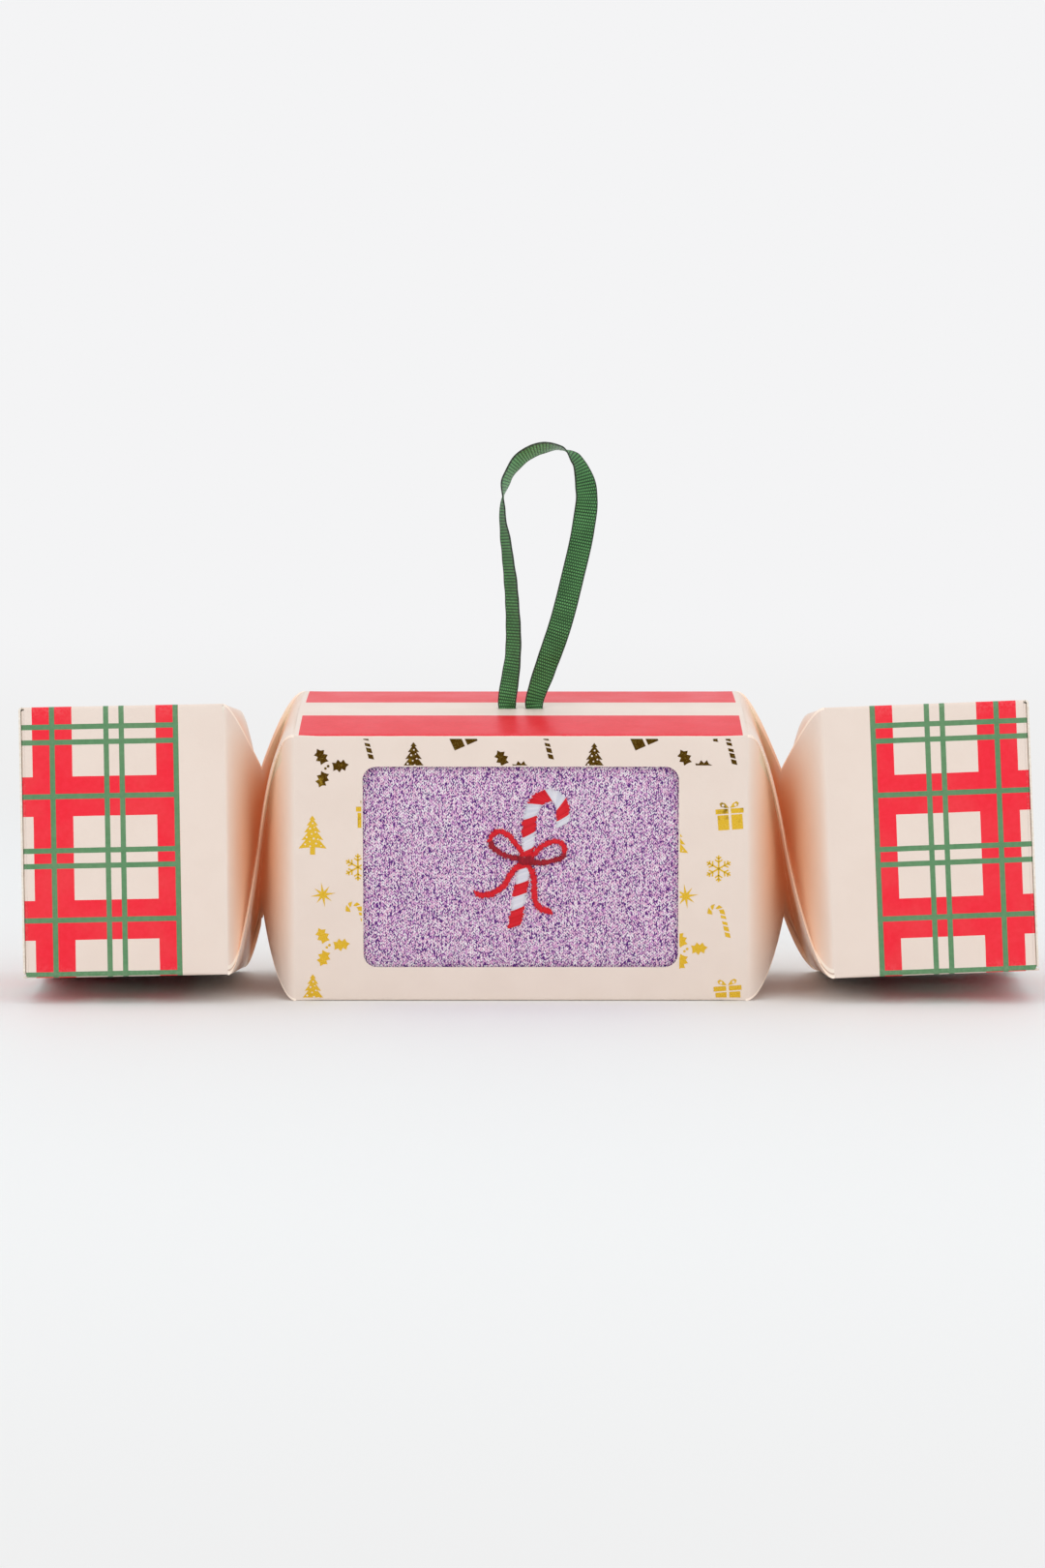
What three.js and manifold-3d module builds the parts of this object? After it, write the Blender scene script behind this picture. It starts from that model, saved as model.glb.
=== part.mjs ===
// Christmas cracker gift box: one printed board sleeve with a square centre box, two twisted
// necks and two square end boxes. A pair of socks shows through the centre window, and a ribbon
// loop stands in two slits of the top panel. Millimetres, +X along the cracker, -Y to the
// front, +Z up. The origin lies on the floor under the middle of the whole cracker.
import * as THREE from 'three';
import { mergeVertices } from 'three/addons/utils/BufferGeometryUtils.js';
import Module from 'manifold-3d';

const wasm = await Module();
wasm.setup();

// Board sleeve
const BOARD = 0.5; // thickness of the board
const GAP = 0.3; // clearance between neighbouring pieces
const SIDE = 69.5; // outer side of the square tube
const CENTRE_LENGTH = 116;
const LEFT_NECK = 17.7; // axial length of a twisted neck
const RIGHT_NECK = 21.3;
const END_LENGTH = 52.5;
const TOP_BOW = 1.1; // outward bow of the centre's top panel

// Stance: the necks spring back from the quarter turn, so the centre leans forward and the
// ends lean back. Each end box also droops a little in the plane of the front.
const SPRINGBACK = 11; // degrees left out of the quarter turn
const LEFT_SKEW = 1.1; // degrees, counter-clockwise seen from the front
const RIGHT_SKEW = 2.2;

// Twisted neck
const WAIST = 18.4; // distance from the axis to a ridge at the waist
const LEFT_WAIST_SHIFT = 1.2; // waist from the neck's middle towards the end box
const RIGHT_WAIST_SHIFT = 0.3;
const FLARE = 1.8; // exponent of the curve from the waist to the creases
const VALLEY_PULL = 1.5; // how strongly a strip is drawn in towards its valley
const STRIP_STEPS = 14; // sections along a strip
const STRIP_SPANS = 8; // facets across a strip

// Window
const WINDOW_WIDTH = 81;
const WINDOW_HEIGHT = 52;
const WINDOW_RADIUS = 3.5;
const WINDOW_DROP = 0.2; // window centre below the panel centre

// Seam
const FLAP_WIDTH = 12; // glued flap along the seam
const FLAP_INSET = 3; // flap ends short of the creases

// End closure
const TONGUE_LENGTH = 14;
const TONGUE_LEAN = 6; // degrees the tongue leans in, so that its tip clears the bottom panel
const TONGUE_SIDE = 3; // tongue narrower than the lid on each side
const TONGUE_CORNER = 4; // radius of the tongue's free corners
const DUST_REACH = 30; // how far a dust flap reaches in from its crease
const DUST_TAPER = 31; // degrees, on the side next to the lid's crease
const DUST_FOOT = 3; // dust flap ends this far above the tongue's crease

// Ribbon
const RIBBON_WIDTH = 6;
const RIBBON_NARROW = 4.8; // width where it is cupped in its slit
const RIBBON_THICK = 0.4;
const SLIT_SPACING = 7.1;
const RIBBON_STEPS = 72;
const FOOT_TURN = [-20, 5]; // the ribbon's turn and width 2 mm above its slit
const KNOT = [12, 5.5, 6]; // width, depth and height of the knot
const KNOT_DROP = 3.2; // top of the knot below the panel
// The loop's route, from the middle between the slits: x, y and z, and the ribbon's turn about
// its own length in degrees. At 0 its width lies in the plane of the loop.
const LOOP = [
  [-1.9, 0.0, 15, -50],
  [-2.4, -0.2, 31, -57],
  [-3.6, -0.4, 42, -64],
  [-4.7, -0.4, 52, -78],
  [-3.6, -0.2, 60, -112],
  [0.4, 0.0, 65.6, -124],
  [5.4, 0.2, 68, -120],
  [10.4, 0.4, 68, -100],
  [14.5, 0.5, 65, -62],
  [17.1, 0.5, 57, -24],
  [16.3, 0.4, 47, 2],
  [13.6, 0.3, 34.6, 8],
  [10.3, 0.2, 21.8, 4],
  [6.4, 0.1, 10.6, -20],
];

// Socks
const SOCK_WIDTH = 106;
const SOCK_HEADROOM = 2.2; // front sock below the top panel
const SOCK_UNDER_KNOT = 0.1; // back sock below the ribbon's knot
const SOCK_FRONT_DEPTH = 28;
const SOCK_BACK_DEPTH = 30;
const SOCK_SETBACK = 1.4; // front sock behind the inner face of the front panel
const SOCK_OUTLINE = 8; // exponent of a pad's rounded outline
const SOCK_CROWN = 6.5; // exponent of a pad's crowned faces
const SOCK_STEPS = [40, 20];
const THREAD = 0.6; // height of the embroidery

// Embroidered motif, as x and height from the middle of the window
const CANE_WIDTH = 3.7;
const CANE = [
  [-1.6, -15.1], [-1.0, -11.9], [-0.5, -8], [0.1, -4.5], [0.7, -1], [1.4, 2.5], [1.9, 6.6],
  [2.1, 10.6], [2.6, 14.3], [4.0, 17.2], [6.2, 18.8], [8.4, 18.9], [10.0, 17.4], [10.8, 14.9],
  [10.9, 11.3],
];
const BOW_CORD = 1.4;
const BOW_KNOT = [1.4, 2.4];
const BOW_LINES = [
  [[1.4, 2.4], [3.2, 3.6], [4.8, 5.3], [6.8, 6.6], [8.9, 7], [10.7, 6.2], [11.3, 4.6],
    [10.7, 2.9], [9, 2.1], [6.4, 1.6], [3.6, 1.5], [1.4, 2.4]],
  [[1.4, 2.4], [0.2, 4.5], [-1.2, 6.3], [-2.6, 8], [-4.1, 9.2], [-5.8, 9.6], [-7.2, 8.8],
    [-7.8, 7.1], [-7.2, 5.4], [-5.5, 4.1], [-3.6, 3.2], [-1.4, 2.6], [1.4, 2.4]],
  [[1.4, 2.4], [-0.4, 0.6], [-1.7, -0.3], [-2.8, -1.8], [-3.8, -3.8], [-5.3, -5.4],
    [-7.2, -6.6], [-9.3, -7], [-11.8, -6.7]],
  [[1.4, 2.4], [2, 0.6], [2.9, -1], [3.4, -3.4], [3.5, -6], [3.6, -8.2], [4.5, -10],
    [6, -11], [7.9, -11.4]],
];

const rad = THREE.MathUtils.degToRad;
const HALF = SIDE / 2;
const PITCH = rad(SPRINGBACK / 2);
const AXIS_HEIGHT = HALF * (Math.cos(PITCH) + Math.sin(PITCH));
const INNER = HALF - BOARD;

// How the end on one side hangs on the centre box
function endOf(side) {
  const [neck, skew, shift] = side < 0
    ? [LEFT_NECK, rad(LEFT_SKEW), LEFT_WAIST_SHIFT]
    : [RIGHT_NECK, rad(RIGHT_SKEW), RIGHT_WAIST_SHIFT];
  const middle = new THREE.Vector3(
    side * (CENTRE_LENGTH / 2 + neck + END_LENGTH / 2), 0,
    AXIS_HEIGHT + (END_LENGTH / 2) * Math.sin(skew));
  return { skew, shift, middle };
}

const cream = { color: 0xebdbd0, roughness: 0.55, metalness: 0 };
const inside = { color: 0xe9dfd0, roughness: 0.8, metalness: 0 };
const plaid = { color: 0xe6a596, roughness: 0.5, metalness: 0 };
const banded = { color: 0xe7707a, roughness: 0.5, metalness: 0 };
const satin = { color: 0x2f6d3d, roughness: 0.4, metalness: 0 };
const knit = { color: 0xb996cd, roughness: 0.9, metalness: 0 };
const stitchRed = { color: 0xc9202f, roughness: 0.7, metalness: 0 };
const stitchWhite = { color: 0xf2ecec, roughness: 0.7, metalness: 0 };

const cracker = new THREE.Group();
const centre = new THREE.Group();
centre.position.set(0, 0, AXIS_HEIGHT);
centre.rotation.x = PITCH;
cracker.add(centre);

function piece(parent, name, geometry, look) {
  const mesh = new THREE.Mesh(geometry, new THREE.MeshStandardMaterial(look));
  mesh.name = name;
  parent.add(mesh);
  return mesh;
}

// A box between two corners
function slab(low, high) {
  const size = high.map((v, i) => v - low[i]);
  const geometry = new THREE.BoxGeometry(...size);
  geometry.translate(...high.map((v, i) => (v + low[i]) / 2));
  return geometry;
}

function solidOf(geometry) {
  const bare = geometry.clone();
  bare.deleteAttribute('normal');
  bare.deleteAttribute('uv');
  const merged = mergeVertices(bare, 1e-4);
  return new wasm.Manifold(new wasm.Mesh({
    numProp: 3,
    vertProperties: new Float32Array(merged.attributes.position.array),
    triVerts: new Uint32Array(merged.index.array),
  }));
}

function geometryOf(solid) {
  const mesh = solid.getMesh();
  const geometry = new THREE.BufferGeometry();
  geometry.setAttribute('position', new THREE.BufferAttribute(mesh.vertProperties, 3));
  geometry.setIndex(Array.from(mesh.triVerts));
  return geometry;
}

// A closed skin between two grids of points: the outer face first, seen from outside with
// rows running left to right and points running upwards, and the inner face behind it
function sheet(outer, inner) {
  const rows = outer.length;
  const columns = outer[0].length;
  const positions = [];
  for (const grid of [outer, inner]) {
    for (const row of grid) {
      for (const p of row) {
        positions.push(p.x, p.y, p.z);
      }
    }
  }
  const at = (side, i, j) => side * rows * columns + i * columns + j;
  const index = [];
  const quad = (a, b, c, d) => index.push(a, b, c, a, c, d);
  for (let i = 0; i < rows - 1; i++) {
    for (let j = 0; j < columns - 1; j++) {
      quad(at(0, i, j), at(0, i + 1, j), at(0, i + 1, j + 1), at(0, i, j + 1));
      quad(at(1, i, j), at(1, i, j + 1), at(1, i + 1, j + 1), at(1, i + 1, j));
    }
    quad(at(0, i, 0), at(1, i, 0), at(1, i + 1, 0), at(0, i + 1, 0));
    const top = columns - 1;
    quad(at(0, i, top), at(0, i + 1, top), at(1, i + 1, top), at(1, i, top));
  }
  const last = rows - 1;
  for (let j = 0; j < columns - 1; j++) {
    quad(at(0, 0, j), at(0, 0, j + 1), at(1, 0, j + 1), at(1, 0, j));
    quad(at(0, last, j), at(1, last, j), at(1, last, j + 1), at(0, last, j + 1));
  }
  const geometry = new THREE.BufferGeometry();
  geometry.setAttribute('position', new THREE.Float32BufferAttribute(positions, 3));
  geometry.setIndex(index);
  return geometry;
}

function roundedRect(path, width, height, radius, x = 0, y = 0) {
  const w = width / 2;
  const h = height / 2;
  path.moveTo(x - w + radius, y - h);
  path.lineTo(x + w - radius, y - h);
  path.absarc(x + w - radius, y - h + radius, radius, -Math.PI / 2, 0);
  path.lineTo(x + w, y + h - radius);
  path.absarc(x + w - radius, y + h - radius, radius, 0, Math.PI / 2);
  path.lineTo(x - w + radius, y + h);
  path.absarc(x - w + radius, y + h - radius, radius, Math.PI / 2, Math.PI);
  path.lineTo(x - w, y - h + radius);
  path.absarc(x - w + radius, y - h + radius, radius, Math.PI, Math.PI * 1.5);
  return path;
}

// A flat outline in x and z, extruded from y = front towards the back
function plate(shape, thick, front) {
  const geometry = new THREE.ExtrudeGeometry(shape, {
    depth: thick, bevelEnabled: false, curveSegments: 8,
  });
  geometry.rotateX(Math.PI / 2);
  geometry.translate(0, front + thick, 0);
  return geometry;
}

// Centre box. Front and back panels are full height; top and bottom sit between them.
const BETWEEN = INNER - GAP; // half depth of a panel that sits between two others
const CENTRE_HALF = CENTRE_LENGTH / 2;

const frontShape = new THREE.Shape();
frontShape.moveTo(-CENTRE_HALF, -HALF);
frontShape.lineTo(CENTRE_HALF, -HALF);
frontShape.lineTo(CENTRE_HALF, HALF);
frontShape.lineTo(-CENTRE_HALF, HALF);
frontShape.closePath();
frontShape.holes.push(roundedRect(
  new THREE.Path(), WINDOW_WIDTH, WINDOW_HEIGHT, WINDOW_RADIUS, 0, -WINDOW_DROP));
piece(centre, 'front_panel', plate(frontShape, BOARD, -HALF), cream);
piece(centre, 'back_panel',
  slab([-CENTRE_HALF, INNER, -HALF], [CENTRE_HALF, HALF, HALF]), cream);
piece(centre, 'bottom_panel',
  slab([-CENTRE_HALF, -BETWEEN, -HALF], [CENTRE_HALF, BETWEEN, -INNER]), cream);

// Top panel, bowed outwards between its two long creases, with a slit for each ribbon leg
function bowAt(y) {
  return TOP_BOW * Math.cos((Math.PI / 2) * (y / BETWEEN));
}

function bowedPanel() {
  const outer = [];
  const inner = [];
  const spans = 12;
  for (const x of [-CENTRE_HALF, CENTRE_HALF]) {
    const line = [];
    const under = [];
    for (let j = 0; j <= spans; j++) {
      const y = -BETWEEN + (2 * BETWEEN * j) / spans;
      line.push(new THREE.Vector3(x, y, HALF + bowAt(y)));
      under.push(new THREE.Vector3(x, y, INNER + bowAt(y)));
    }
    outer.push(line);
    inner.push(under);
  }
  return sheet(outer, inner);
}

const SLIT_LENGTH = RIBBON_NARROW + 2 * GAP;
const SLIT_WIDTH = RIBBON_THICK + 2 * GAP;
let top = solidOf(bowedPanel());
for (const side of [-1, 1]) {
  const x = (side * SLIT_SPACING) / 2;
  const slit = slab(
    [x - SLIT_LENGTH / 2, -SLIT_WIDTH / 2, INNER - 1],
    [x + SLIT_LENGTH / 2, SLIT_WIDTH / 2, HALF + TOP_BOW + 1]);
  top = top.subtract(solidOf(slit));
}
piece(centre, 'top_panel', geometryOf(top), banded);

// Glued flap of the seam, inside the back panel at the bottom
function glueFlap(halfLength) {
  const y = INNER - GAP;
  const z = -INNER + GAP;
  return slab([-halfLength, y - BOARD, z], [halfLength, y, z + FLAP_WIDTH]);
}
piece(centre, 'glue_flap', glueFlap(CENTRE_HALF - FLAP_INSET), inside);

// Twisted neck. Each of its four strips runs from a crease of the centre box to the crease
// one quarter turn on of the end box. A section is drawn from ridge to ridge through the
// valley between them, and the valley passes close to the axis at the waist.
const EDGE_INSET = BOARD + GAP; // each strip's cut edge, short of the ridge
const RIDGE_OFFSET = BOARD + GAP / 2; // outer face of a strip from the middle of the ridge

function flare(u) {
  return 1 - Math.pow(1 - Math.abs(u), FLARE);
}

// Middle of the ridges and strips at u along the neck, -1 at the end box and 1 at the centre
// box, and at v across a strip. The result is the section's point in y and z.
function stripPoint(u, v) {
  const reach = Math.sign(u) * HALF * flare(u);
  const ridge = WAIST + (HALF - WAIST) * flare(u);
  const near = (EDGE_INSET * (1 + u)) / 2;
  const far = (EDGE_INSET * (1 - u)) / 2;
  const a = [-(ridge - near), reach + far];
  const b = [reach - near, ridge - far];
  const c = [reach - near, reach + far];
  const wa = (1 - v) * (1 - v);
  const wc = 2 * v * (1 - v) * VALLEY_PULL;
  const wb = v * v;
  const sum = wa + wb + wc;
  return [0, 1].map((k) => (a[k] * wa + c[k] * wc + b[k] * wb) / sum);
}

// Places a section in the cracker: it turns and shifts from the end box to the centre box
function neckFrame(side, u) {
  const share = (1 + u) / 2;
  const { skew, shift, middle } = endOf(side);
  const pitch = PITCH * (2 * share - 1);
  const start = new THREE.Vector3(side * (CENTRE_HALF + GAP), 0, AXIS_HEIGHT);
  const finish = new THREE.Vector3(-side * (END_LENGTH / 2 + GAP), 0, 0);
  finish.applyAxisAngle(new THREE.Vector3(0, 1, 0), -skew).add(middle);
  const matrix = new THREE.Matrix4().makeRotationY(-skew * (1 - share));
  matrix.multiply(new THREE.Matrix4().makeRotationX(pitch));
  const place = finish.lerp(start, share);
  place.x += side * shift * (1 - u * u);
  matrix.setPosition(place);
  return matrix;
}

function neckStrip(side, quarter) {
  const turn = (quarter * Math.PI) / 2;
  const point = (u, v) => {
    const [y, z] = stripPoint(u, v);
    const p = new THREE.Vector3(0, y, z).applyAxisAngle(new THREE.Vector3(1, 0, 0), turn);
    return p.applyMatrix4(neckFrame(side, u));
  };
  const outer = [];
  const inner = [];
  const step = 1e-3;
  for (let i = 0; i <= STRIP_STEPS; i++) {
    const u = -1 + (2 * i) / STRIP_STEPS;
    const faceRow = [];
    const backRow = [];
    for (let j = 0; j <= STRIP_SPANS; j++) {
      const v = j / STRIP_SPANS;
      const p = point(u, v);
      const along = point(Math.min(u + step, 1), v).sub(point(Math.max(u - step, -1), v));
      const across = point(u, Math.min(v + step, 1)).sub(point(u, Math.max(v - step, 0)));
      const outward = across.cross(along).normalize().multiplyScalar(side);
      const lift = RIDGE_OFFSET * (1 - Math.abs(u) ** 3) * (1 - (4 * v * (1 - v)) ** 3);
      faceRow.push(p.clone().addScaledVector(outward, lift));
      backRow.push(p.clone().addScaledVector(outward, lift - BOARD));
    }
    outer.push(faceRow);
    inner.push(backRow);
  }
  if (side > 0) {
    outer.reverse();
    inner.reverse();
  }
  return sheet(outer, inner);
}

const STRIP_NAMES = ['top', 'front', 'bottom', 'back']; // by the centre panel it leaves
for (const [label, side] of [['left', -1], ['right', 1]]) {
  STRIP_NAMES.forEach((name, quarter) => {
    piece(cracker, `${label}_neck_strip_${name}`, neckStrip(side, quarter), cream);
  });
}

// End boxes
const LID_INNER = END_LENGTH / 2 - BOARD; // inner face of the lid, from the box's middle
const DUST_OUTER = LID_INNER - GAP;
const DUST_INNER = DUST_OUTER - BOARD;
const WALL_END = DUST_INNER - GAP; // front and back panels stop short of the dust flaps
const LID_DROP = SIDE - BOARD - GAP; // from the lid's crease to its lower edge
const LID_HALF = HALF - GAP;
const TONGUE_HALF = INNER - TONGUE_SIDE;

// A flat outline given as [depth into the box, height] drawn in y, extruded along x
function crossPlate(points, low, high) {
  const shape = new THREE.Shape(points.map(([y, z]) => new THREE.Vector2(y, z)));
  const geometry = new THREE.ExtrudeGeometry(shape, {
    depth: high - low, bevelEnabled: false, curveSegments: 6,
  });
  geometry.rotateX(Math.PI / 2);
  geometry.rotateZ(Math.PI / 2);
  geometry.translate(low, 0, 0);
  return geometry;
}

function dustFlap(side, toward) {
  const edge = -toward * (HALF - GAP / 2);
  const tip = edge + toward * DUST_REACH;
  const low = HALF - LID_DROP + DUST_FOOT;
  const crown = HALF - BOARD - GAP;
  const slope = DUST_REACH * Math.tan(rad(DUST_TAPER));
  const points = [[edge, low], [tip, low + 2], [tip, crown - slope], [edge, crown]];
  if (toward < 0) {
    points.reverse();
  }
  const span = [side * DUST_INNER, side * DUST_OUTER].sort((a, b) => a - b);
  return crossPlate(points, ...span);
}

function tongue(side) {
  const shape = new THREE.Shape();
  const w = TONGUE_HALF;
  const r = TONGUE_CORNER;
  shape.moveTo(-w, 0);
  shape.lineTo(w, 0);
  shape.lineTo(w, TONGUE_LENGTH - r);
  shape.absarc(w - r, TONGUE_LENGTH - r, r, 0, Math.PI / 2);
  shape.lineTo(-w + r, TONGUE_LENGTH);
  shape.absarc(-w + r, TONGUE_LENGTH - r, r, Math.PI / 2, Math.PI);
  shape.closePath();
  const geometry = new THREE.ExtrudeGeometry(shape, {
    depth: BOARD, bevelEnabled: false, curveSegments: 5,
  });
  geometry.rotateZ((side * Math.PI) / 2);
  geometry.rotateY(side * rad(TONGUE_LEAN));
  return geometry;
}

for (const [label, side] of [['left', -1], ['right', 1]]) {
  const placed = new THREE.Group();
  const { skew, middle } = endOf(side);
  placed.position.copy(middle);
  placed.rotation.y = -skew;
  const end = new THREE.Group();
  end.rotation.x = -PITCH;
  placed.add(end);
  cracker.add(placed);

  const along = (near, far) => [side * near, side * far].sort((a, b) => a - b);
  const [w0, w1] = along(-END_LENGTH / 2, WALL_END);
  const [t0, t1] = along(-END_LENGTH / 2, LID_INNER - GAP);
  const [b0, b1] = along(-END_LENGTH / 2, END_LENGTH / 2);
  piece(end, `${label}_end_front`, slab([w0, -HALF, -HALF], [w1, -INNER, HALF]), plaid);
  piece(end, `${label}_end_back`, slab([w0, INNER, -HALF], [w1, HALF, HALF]), plaid);
  piece(end, `${label}_end_top`, slab([t0, -BETWEEN, INNER], [t1, BETWEEN, HALF]), plaid);
  piece(end, `${label}_end_bottom`,
    slab([b0, -BETWEEN, -HALF], [b1, BETWEEN, -INNER]), plaid);
  const seam = glueFlap((END_LENGTH - TONGUE_LENGTH) / 2 - FLAP_INSET);
  seam.translate(-side * (TONGUE_LENGTH / 2), 0, 0);
  piece(end, `${label}_end_glue_flap`, seam, inside);

  const [l0, l1] = along(LID_INNER, END_LENGTH / 2);
  piece(end, `${label}_lid`, slab([l0, -LID_HALF, HALF - LID_DROP], [l1, LID_HALF, HALF]), plaid);
  const tuck = piece(end, `${label}_lid_tongue`, tongue(side), plaid);
  tuck.position.set(side * (LID_INNER - GAP), 0, HALF - LID_DROP);
  piece(end, `${label}_dust_flap_front`, dustFlap(side, 1), cream);
  piece(end, `${label}_dust_flap_back`, dustFlap(side, -1), cream);
}

// Socks: two folded pads with crowned faces and rounded folds, standing on the bottom panel
function pad(width, depth, height) {
  const geometry = new THREE.SphereGeometry(1, ...SOCK_STEPS);
  const position = geometry.attributes.position;
  for (let i = 0; i < position.count; i++) {
    const x = position.getX(i);
    const y = position.getZ(i);
    const z = position.getY(i);
    const rim = Math.abs(x) ** SOCK_OUTLINE + Math.abs(z) ** SOCK_OUTLINE;
    const face = rim ** (SOCK_CROWN / SOCK_OUTLINE);
    const scale = (face + Math.abs(y) ** SOCK_CROWN) ** (-1 / SOCK_CROWN);
    position.setXYZ(i, x * scale * (width / 2), -y * scale * (depth / 2), z * scale * (height / 2));
  }
  return geometryOf(solidOf(geometry));
}

const SOCK_FLOOR = -INNER + GAP;
const FRONT_HEIGHT = INNER - SOCK_HEADROOM - SOCK_FLOOR;
const BACK_HEIGHT = INNER + TOP_BOW - KNOT_DROP - KNOT[2] - SOCK_UNDER_KNOT - SOCK_FLOOR;
const SOCK_FACE = -INNER + SOCK_SETBACK;
const frontSock = piece(
  centre, 'sock_front', pad(SOCK_WIDTH, SOCK_FRONT_DEPTH, FRONT_HEIGHT), knit);
frontSock.position.set(
  0, SOCK_FACE + SOCK_FRONT_DEPTH / 2, SOCK_FLOOR + FRONT_HEIGHT / 2);
const backSock = piece(
  centre, 'sock_back', pad(SOCK_WIDTH, SOCK_BACK_DEPTH, BACK_HEIGHT), knit);
backSock.position.set(
  0, SOCK_FACE + SOCK_FRONT_DEPTH + GAP + SOCK_BACK_DEPTH / 2,
  SOCK_FLOOR + BACK_HEIGHT / 2);

// A flat band of constant width along a smooth line through points in x and height, with
// square ends, from y = front towards the back
function band(points, width, thick, front) {
  const curve = new THREE.SplineCurve(points.map(([x, z]) => new THREE.Vector2(x, z)));
  const line = curve.getPoints((points.length - 1) * 2);
  const left = [];
  const right = [];
  line.forEach((p, i) => {
    const before = line[Math.max(i - 1, 0)];
    const after = line[Math.min(i + 1, line.length - 1)];
    const across = new THREE.Vector2(before.y - after.y, after.x - before.x);
    across.normalize().multiplyScalar(width / 2);
    left.push(p.clone().add(across));
    right.push(p.clone().sub(across));
  });
  return solidOf(plate(new THREE.Shape([...left, ...right.reverse()]), thick, front));
}

const MOTIF_BACK = SOCK_FACE - GAP;
const CANE_FRONT = MOTIF_BACK - THREAD;
const BOW_FRONT = CANE_FRONT - GAP - THREAD;
piece(centre, 'embroidered_cane', geometryOf(band(CANE, CANE_WIDTH, THREAD, CANE_FRONT)),
  stitchWhite);

function bowSolid() {
  const knot = new THREE.Shape();
  knot.absarc(BOW_KNOT[0], BOW_KNOT[1], BOW_CORD, 0, 2 * Math.PI);
  let solid = solidOf(plate(knot, THREAD, BOW_FRONT));
  for (const line of BOW_LINES) {
    solid = solid.add(band(line, BOW_CORD, THREAD, BOW_FRONT));
  }
  return solid.simplify(0.02);
}
piece(centre, 'embroidered_bow', geometryOf(bowSolid()), stitchRed);

// Ribbon: a flat band swept from the knot up through one slit, round the loop and back down
function ribbonPoints() {
  const foot = (side, depth, turn = 0, width = RIBBON_NARROW) => {
    const p = new THREE.Vector3((side * SLIT_SPACING) / 2, 0, HALF + TOP_BOW + depth);
    p.applyMatrix4(centre.matrixWorld);
    return { p, turn, width };
  };
  const middle = new THREE.Vector3(0, 0, HALF + TOP_BOW).applyMatrix4(centre.matrixWorld);
  const under = -BOARD - KNOT_DROP + GAP;
  const route = [foot(-1, under), foot(-1, -BOARD / 2), foot(-1, 2, ...FOOT_TURN)];
  for (const [x, y, z, turn] of LOOP) {
    route.push({ p: middle.clone().add(new THREE.Vector3(x, y, z)), turn, width: RIBBON_WIDTH });
  }
  route.push(foot(1, 2, ...FOOT_TURN), foot(1, -BOARD / 2), foot(1, under));
  return route;
}

function ribbonGeometry() {
  const route = ribbonPoints();
  const curve = new THREE.CatmullRomCurve3(route.map((r) => r.p), false, 'centripetal');
  const outer = [];
  const inner = [];
  const last = route.length - 1;
  for (let i = 0; i <= RIBBON_STEPS; i++) {
    const t = i / RIBBON_STEPS;
    const k = Math.min(Math.floor(t * last), last - 1);
    const share = t * last - k;
    const turn = rad(THREE.MathUtils.lerp(route[k].turn, route[k + 1].turn, share));
    const width = THREE.MathUtils.lerp(route[k].width, route[k + 1].width, share);
    const p = curve.getPoint(t);
    const tangent = curve.getTangent(t);
    const depth = new THREE.Vector3(0, 1, 0).addScaledVector(tangent, -tangent.y).normalize();
    const flat = new THREE.Vector3().crossVectors(depth, tangent).normalize();
    const across = flat.multiplyScalar(Math.cos(turn)).addScaledVector(depth, Math.sin(turn));
    const normal = new THREE.Vector3().crossVectors(across, tangent).normalize();
    const faceRow = [];
    const backRow = [];
    for (const side of [-1, 1]) {
      const q = p.clone().addScaledVector(across, (side * width) / 2);
      faceRow.push(q.clone().addScaledVector(normal, RIBBON_THICK / 2));
      backRow.push(q.clone().addScaledVector(normal, -RIBBON_THICK / 2));
    }
    outer.push(faceRow);
    inner.push(backRow);
  }
  return sheet(inner, outer);
}

cracker.updateMatrixWorld(true);
piece(cracker, 'ribbon_loop', ribbonGeometry(), satin);
const knotBall = new THREE.SphereGeometry(0.5, 14, 8);
knotBall.scale(...KNOT);
const knot = piece(centre, 'ribbon_knot', geometryOf(solidOf(knotBall)), satin);
knot.position.set(0, 0, INNER + TOP_BOW - KNOT_DROP - KNOT[2] / 2);

// The origin under the middle of the whole cracker
cracker.updateMatrixWorld(true);
const whole = new THREE.Box3().setFromObject(cracker, true);
for (const child of cracker.children) {
  child.position.x -= (whole.min.x + whole.max.x) / 2;
}
cracker.updateMatrixWorld(true);
export default cracker;
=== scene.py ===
"""Christmas cracker gift box, dressed for rendering. Lengths below are in millimetres and are
turned into metres when a mesh is made. +X along the cracker, -Y to the front, +Z up."""
import random
from math import copysign, cos, pi, radians, sin, sqrt, tan

import bmesh
import bpy
from mathutils import Matrix, Vector, noise


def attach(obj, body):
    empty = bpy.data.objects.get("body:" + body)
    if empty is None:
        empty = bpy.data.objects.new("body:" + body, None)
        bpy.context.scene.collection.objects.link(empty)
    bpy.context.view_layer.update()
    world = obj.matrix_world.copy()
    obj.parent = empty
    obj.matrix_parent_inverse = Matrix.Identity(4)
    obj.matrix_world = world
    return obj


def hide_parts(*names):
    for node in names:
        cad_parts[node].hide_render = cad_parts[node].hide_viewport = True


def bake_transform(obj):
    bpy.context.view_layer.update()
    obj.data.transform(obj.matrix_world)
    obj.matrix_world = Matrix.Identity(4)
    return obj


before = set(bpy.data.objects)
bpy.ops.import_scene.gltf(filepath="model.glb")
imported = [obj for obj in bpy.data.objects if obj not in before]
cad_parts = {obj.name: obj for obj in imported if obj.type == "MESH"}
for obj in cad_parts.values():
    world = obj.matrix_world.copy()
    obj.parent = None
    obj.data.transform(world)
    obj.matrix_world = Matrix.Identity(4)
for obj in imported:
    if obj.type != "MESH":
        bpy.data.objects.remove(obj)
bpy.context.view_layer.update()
MM = 0.001
rng = random.Random(7)

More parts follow.
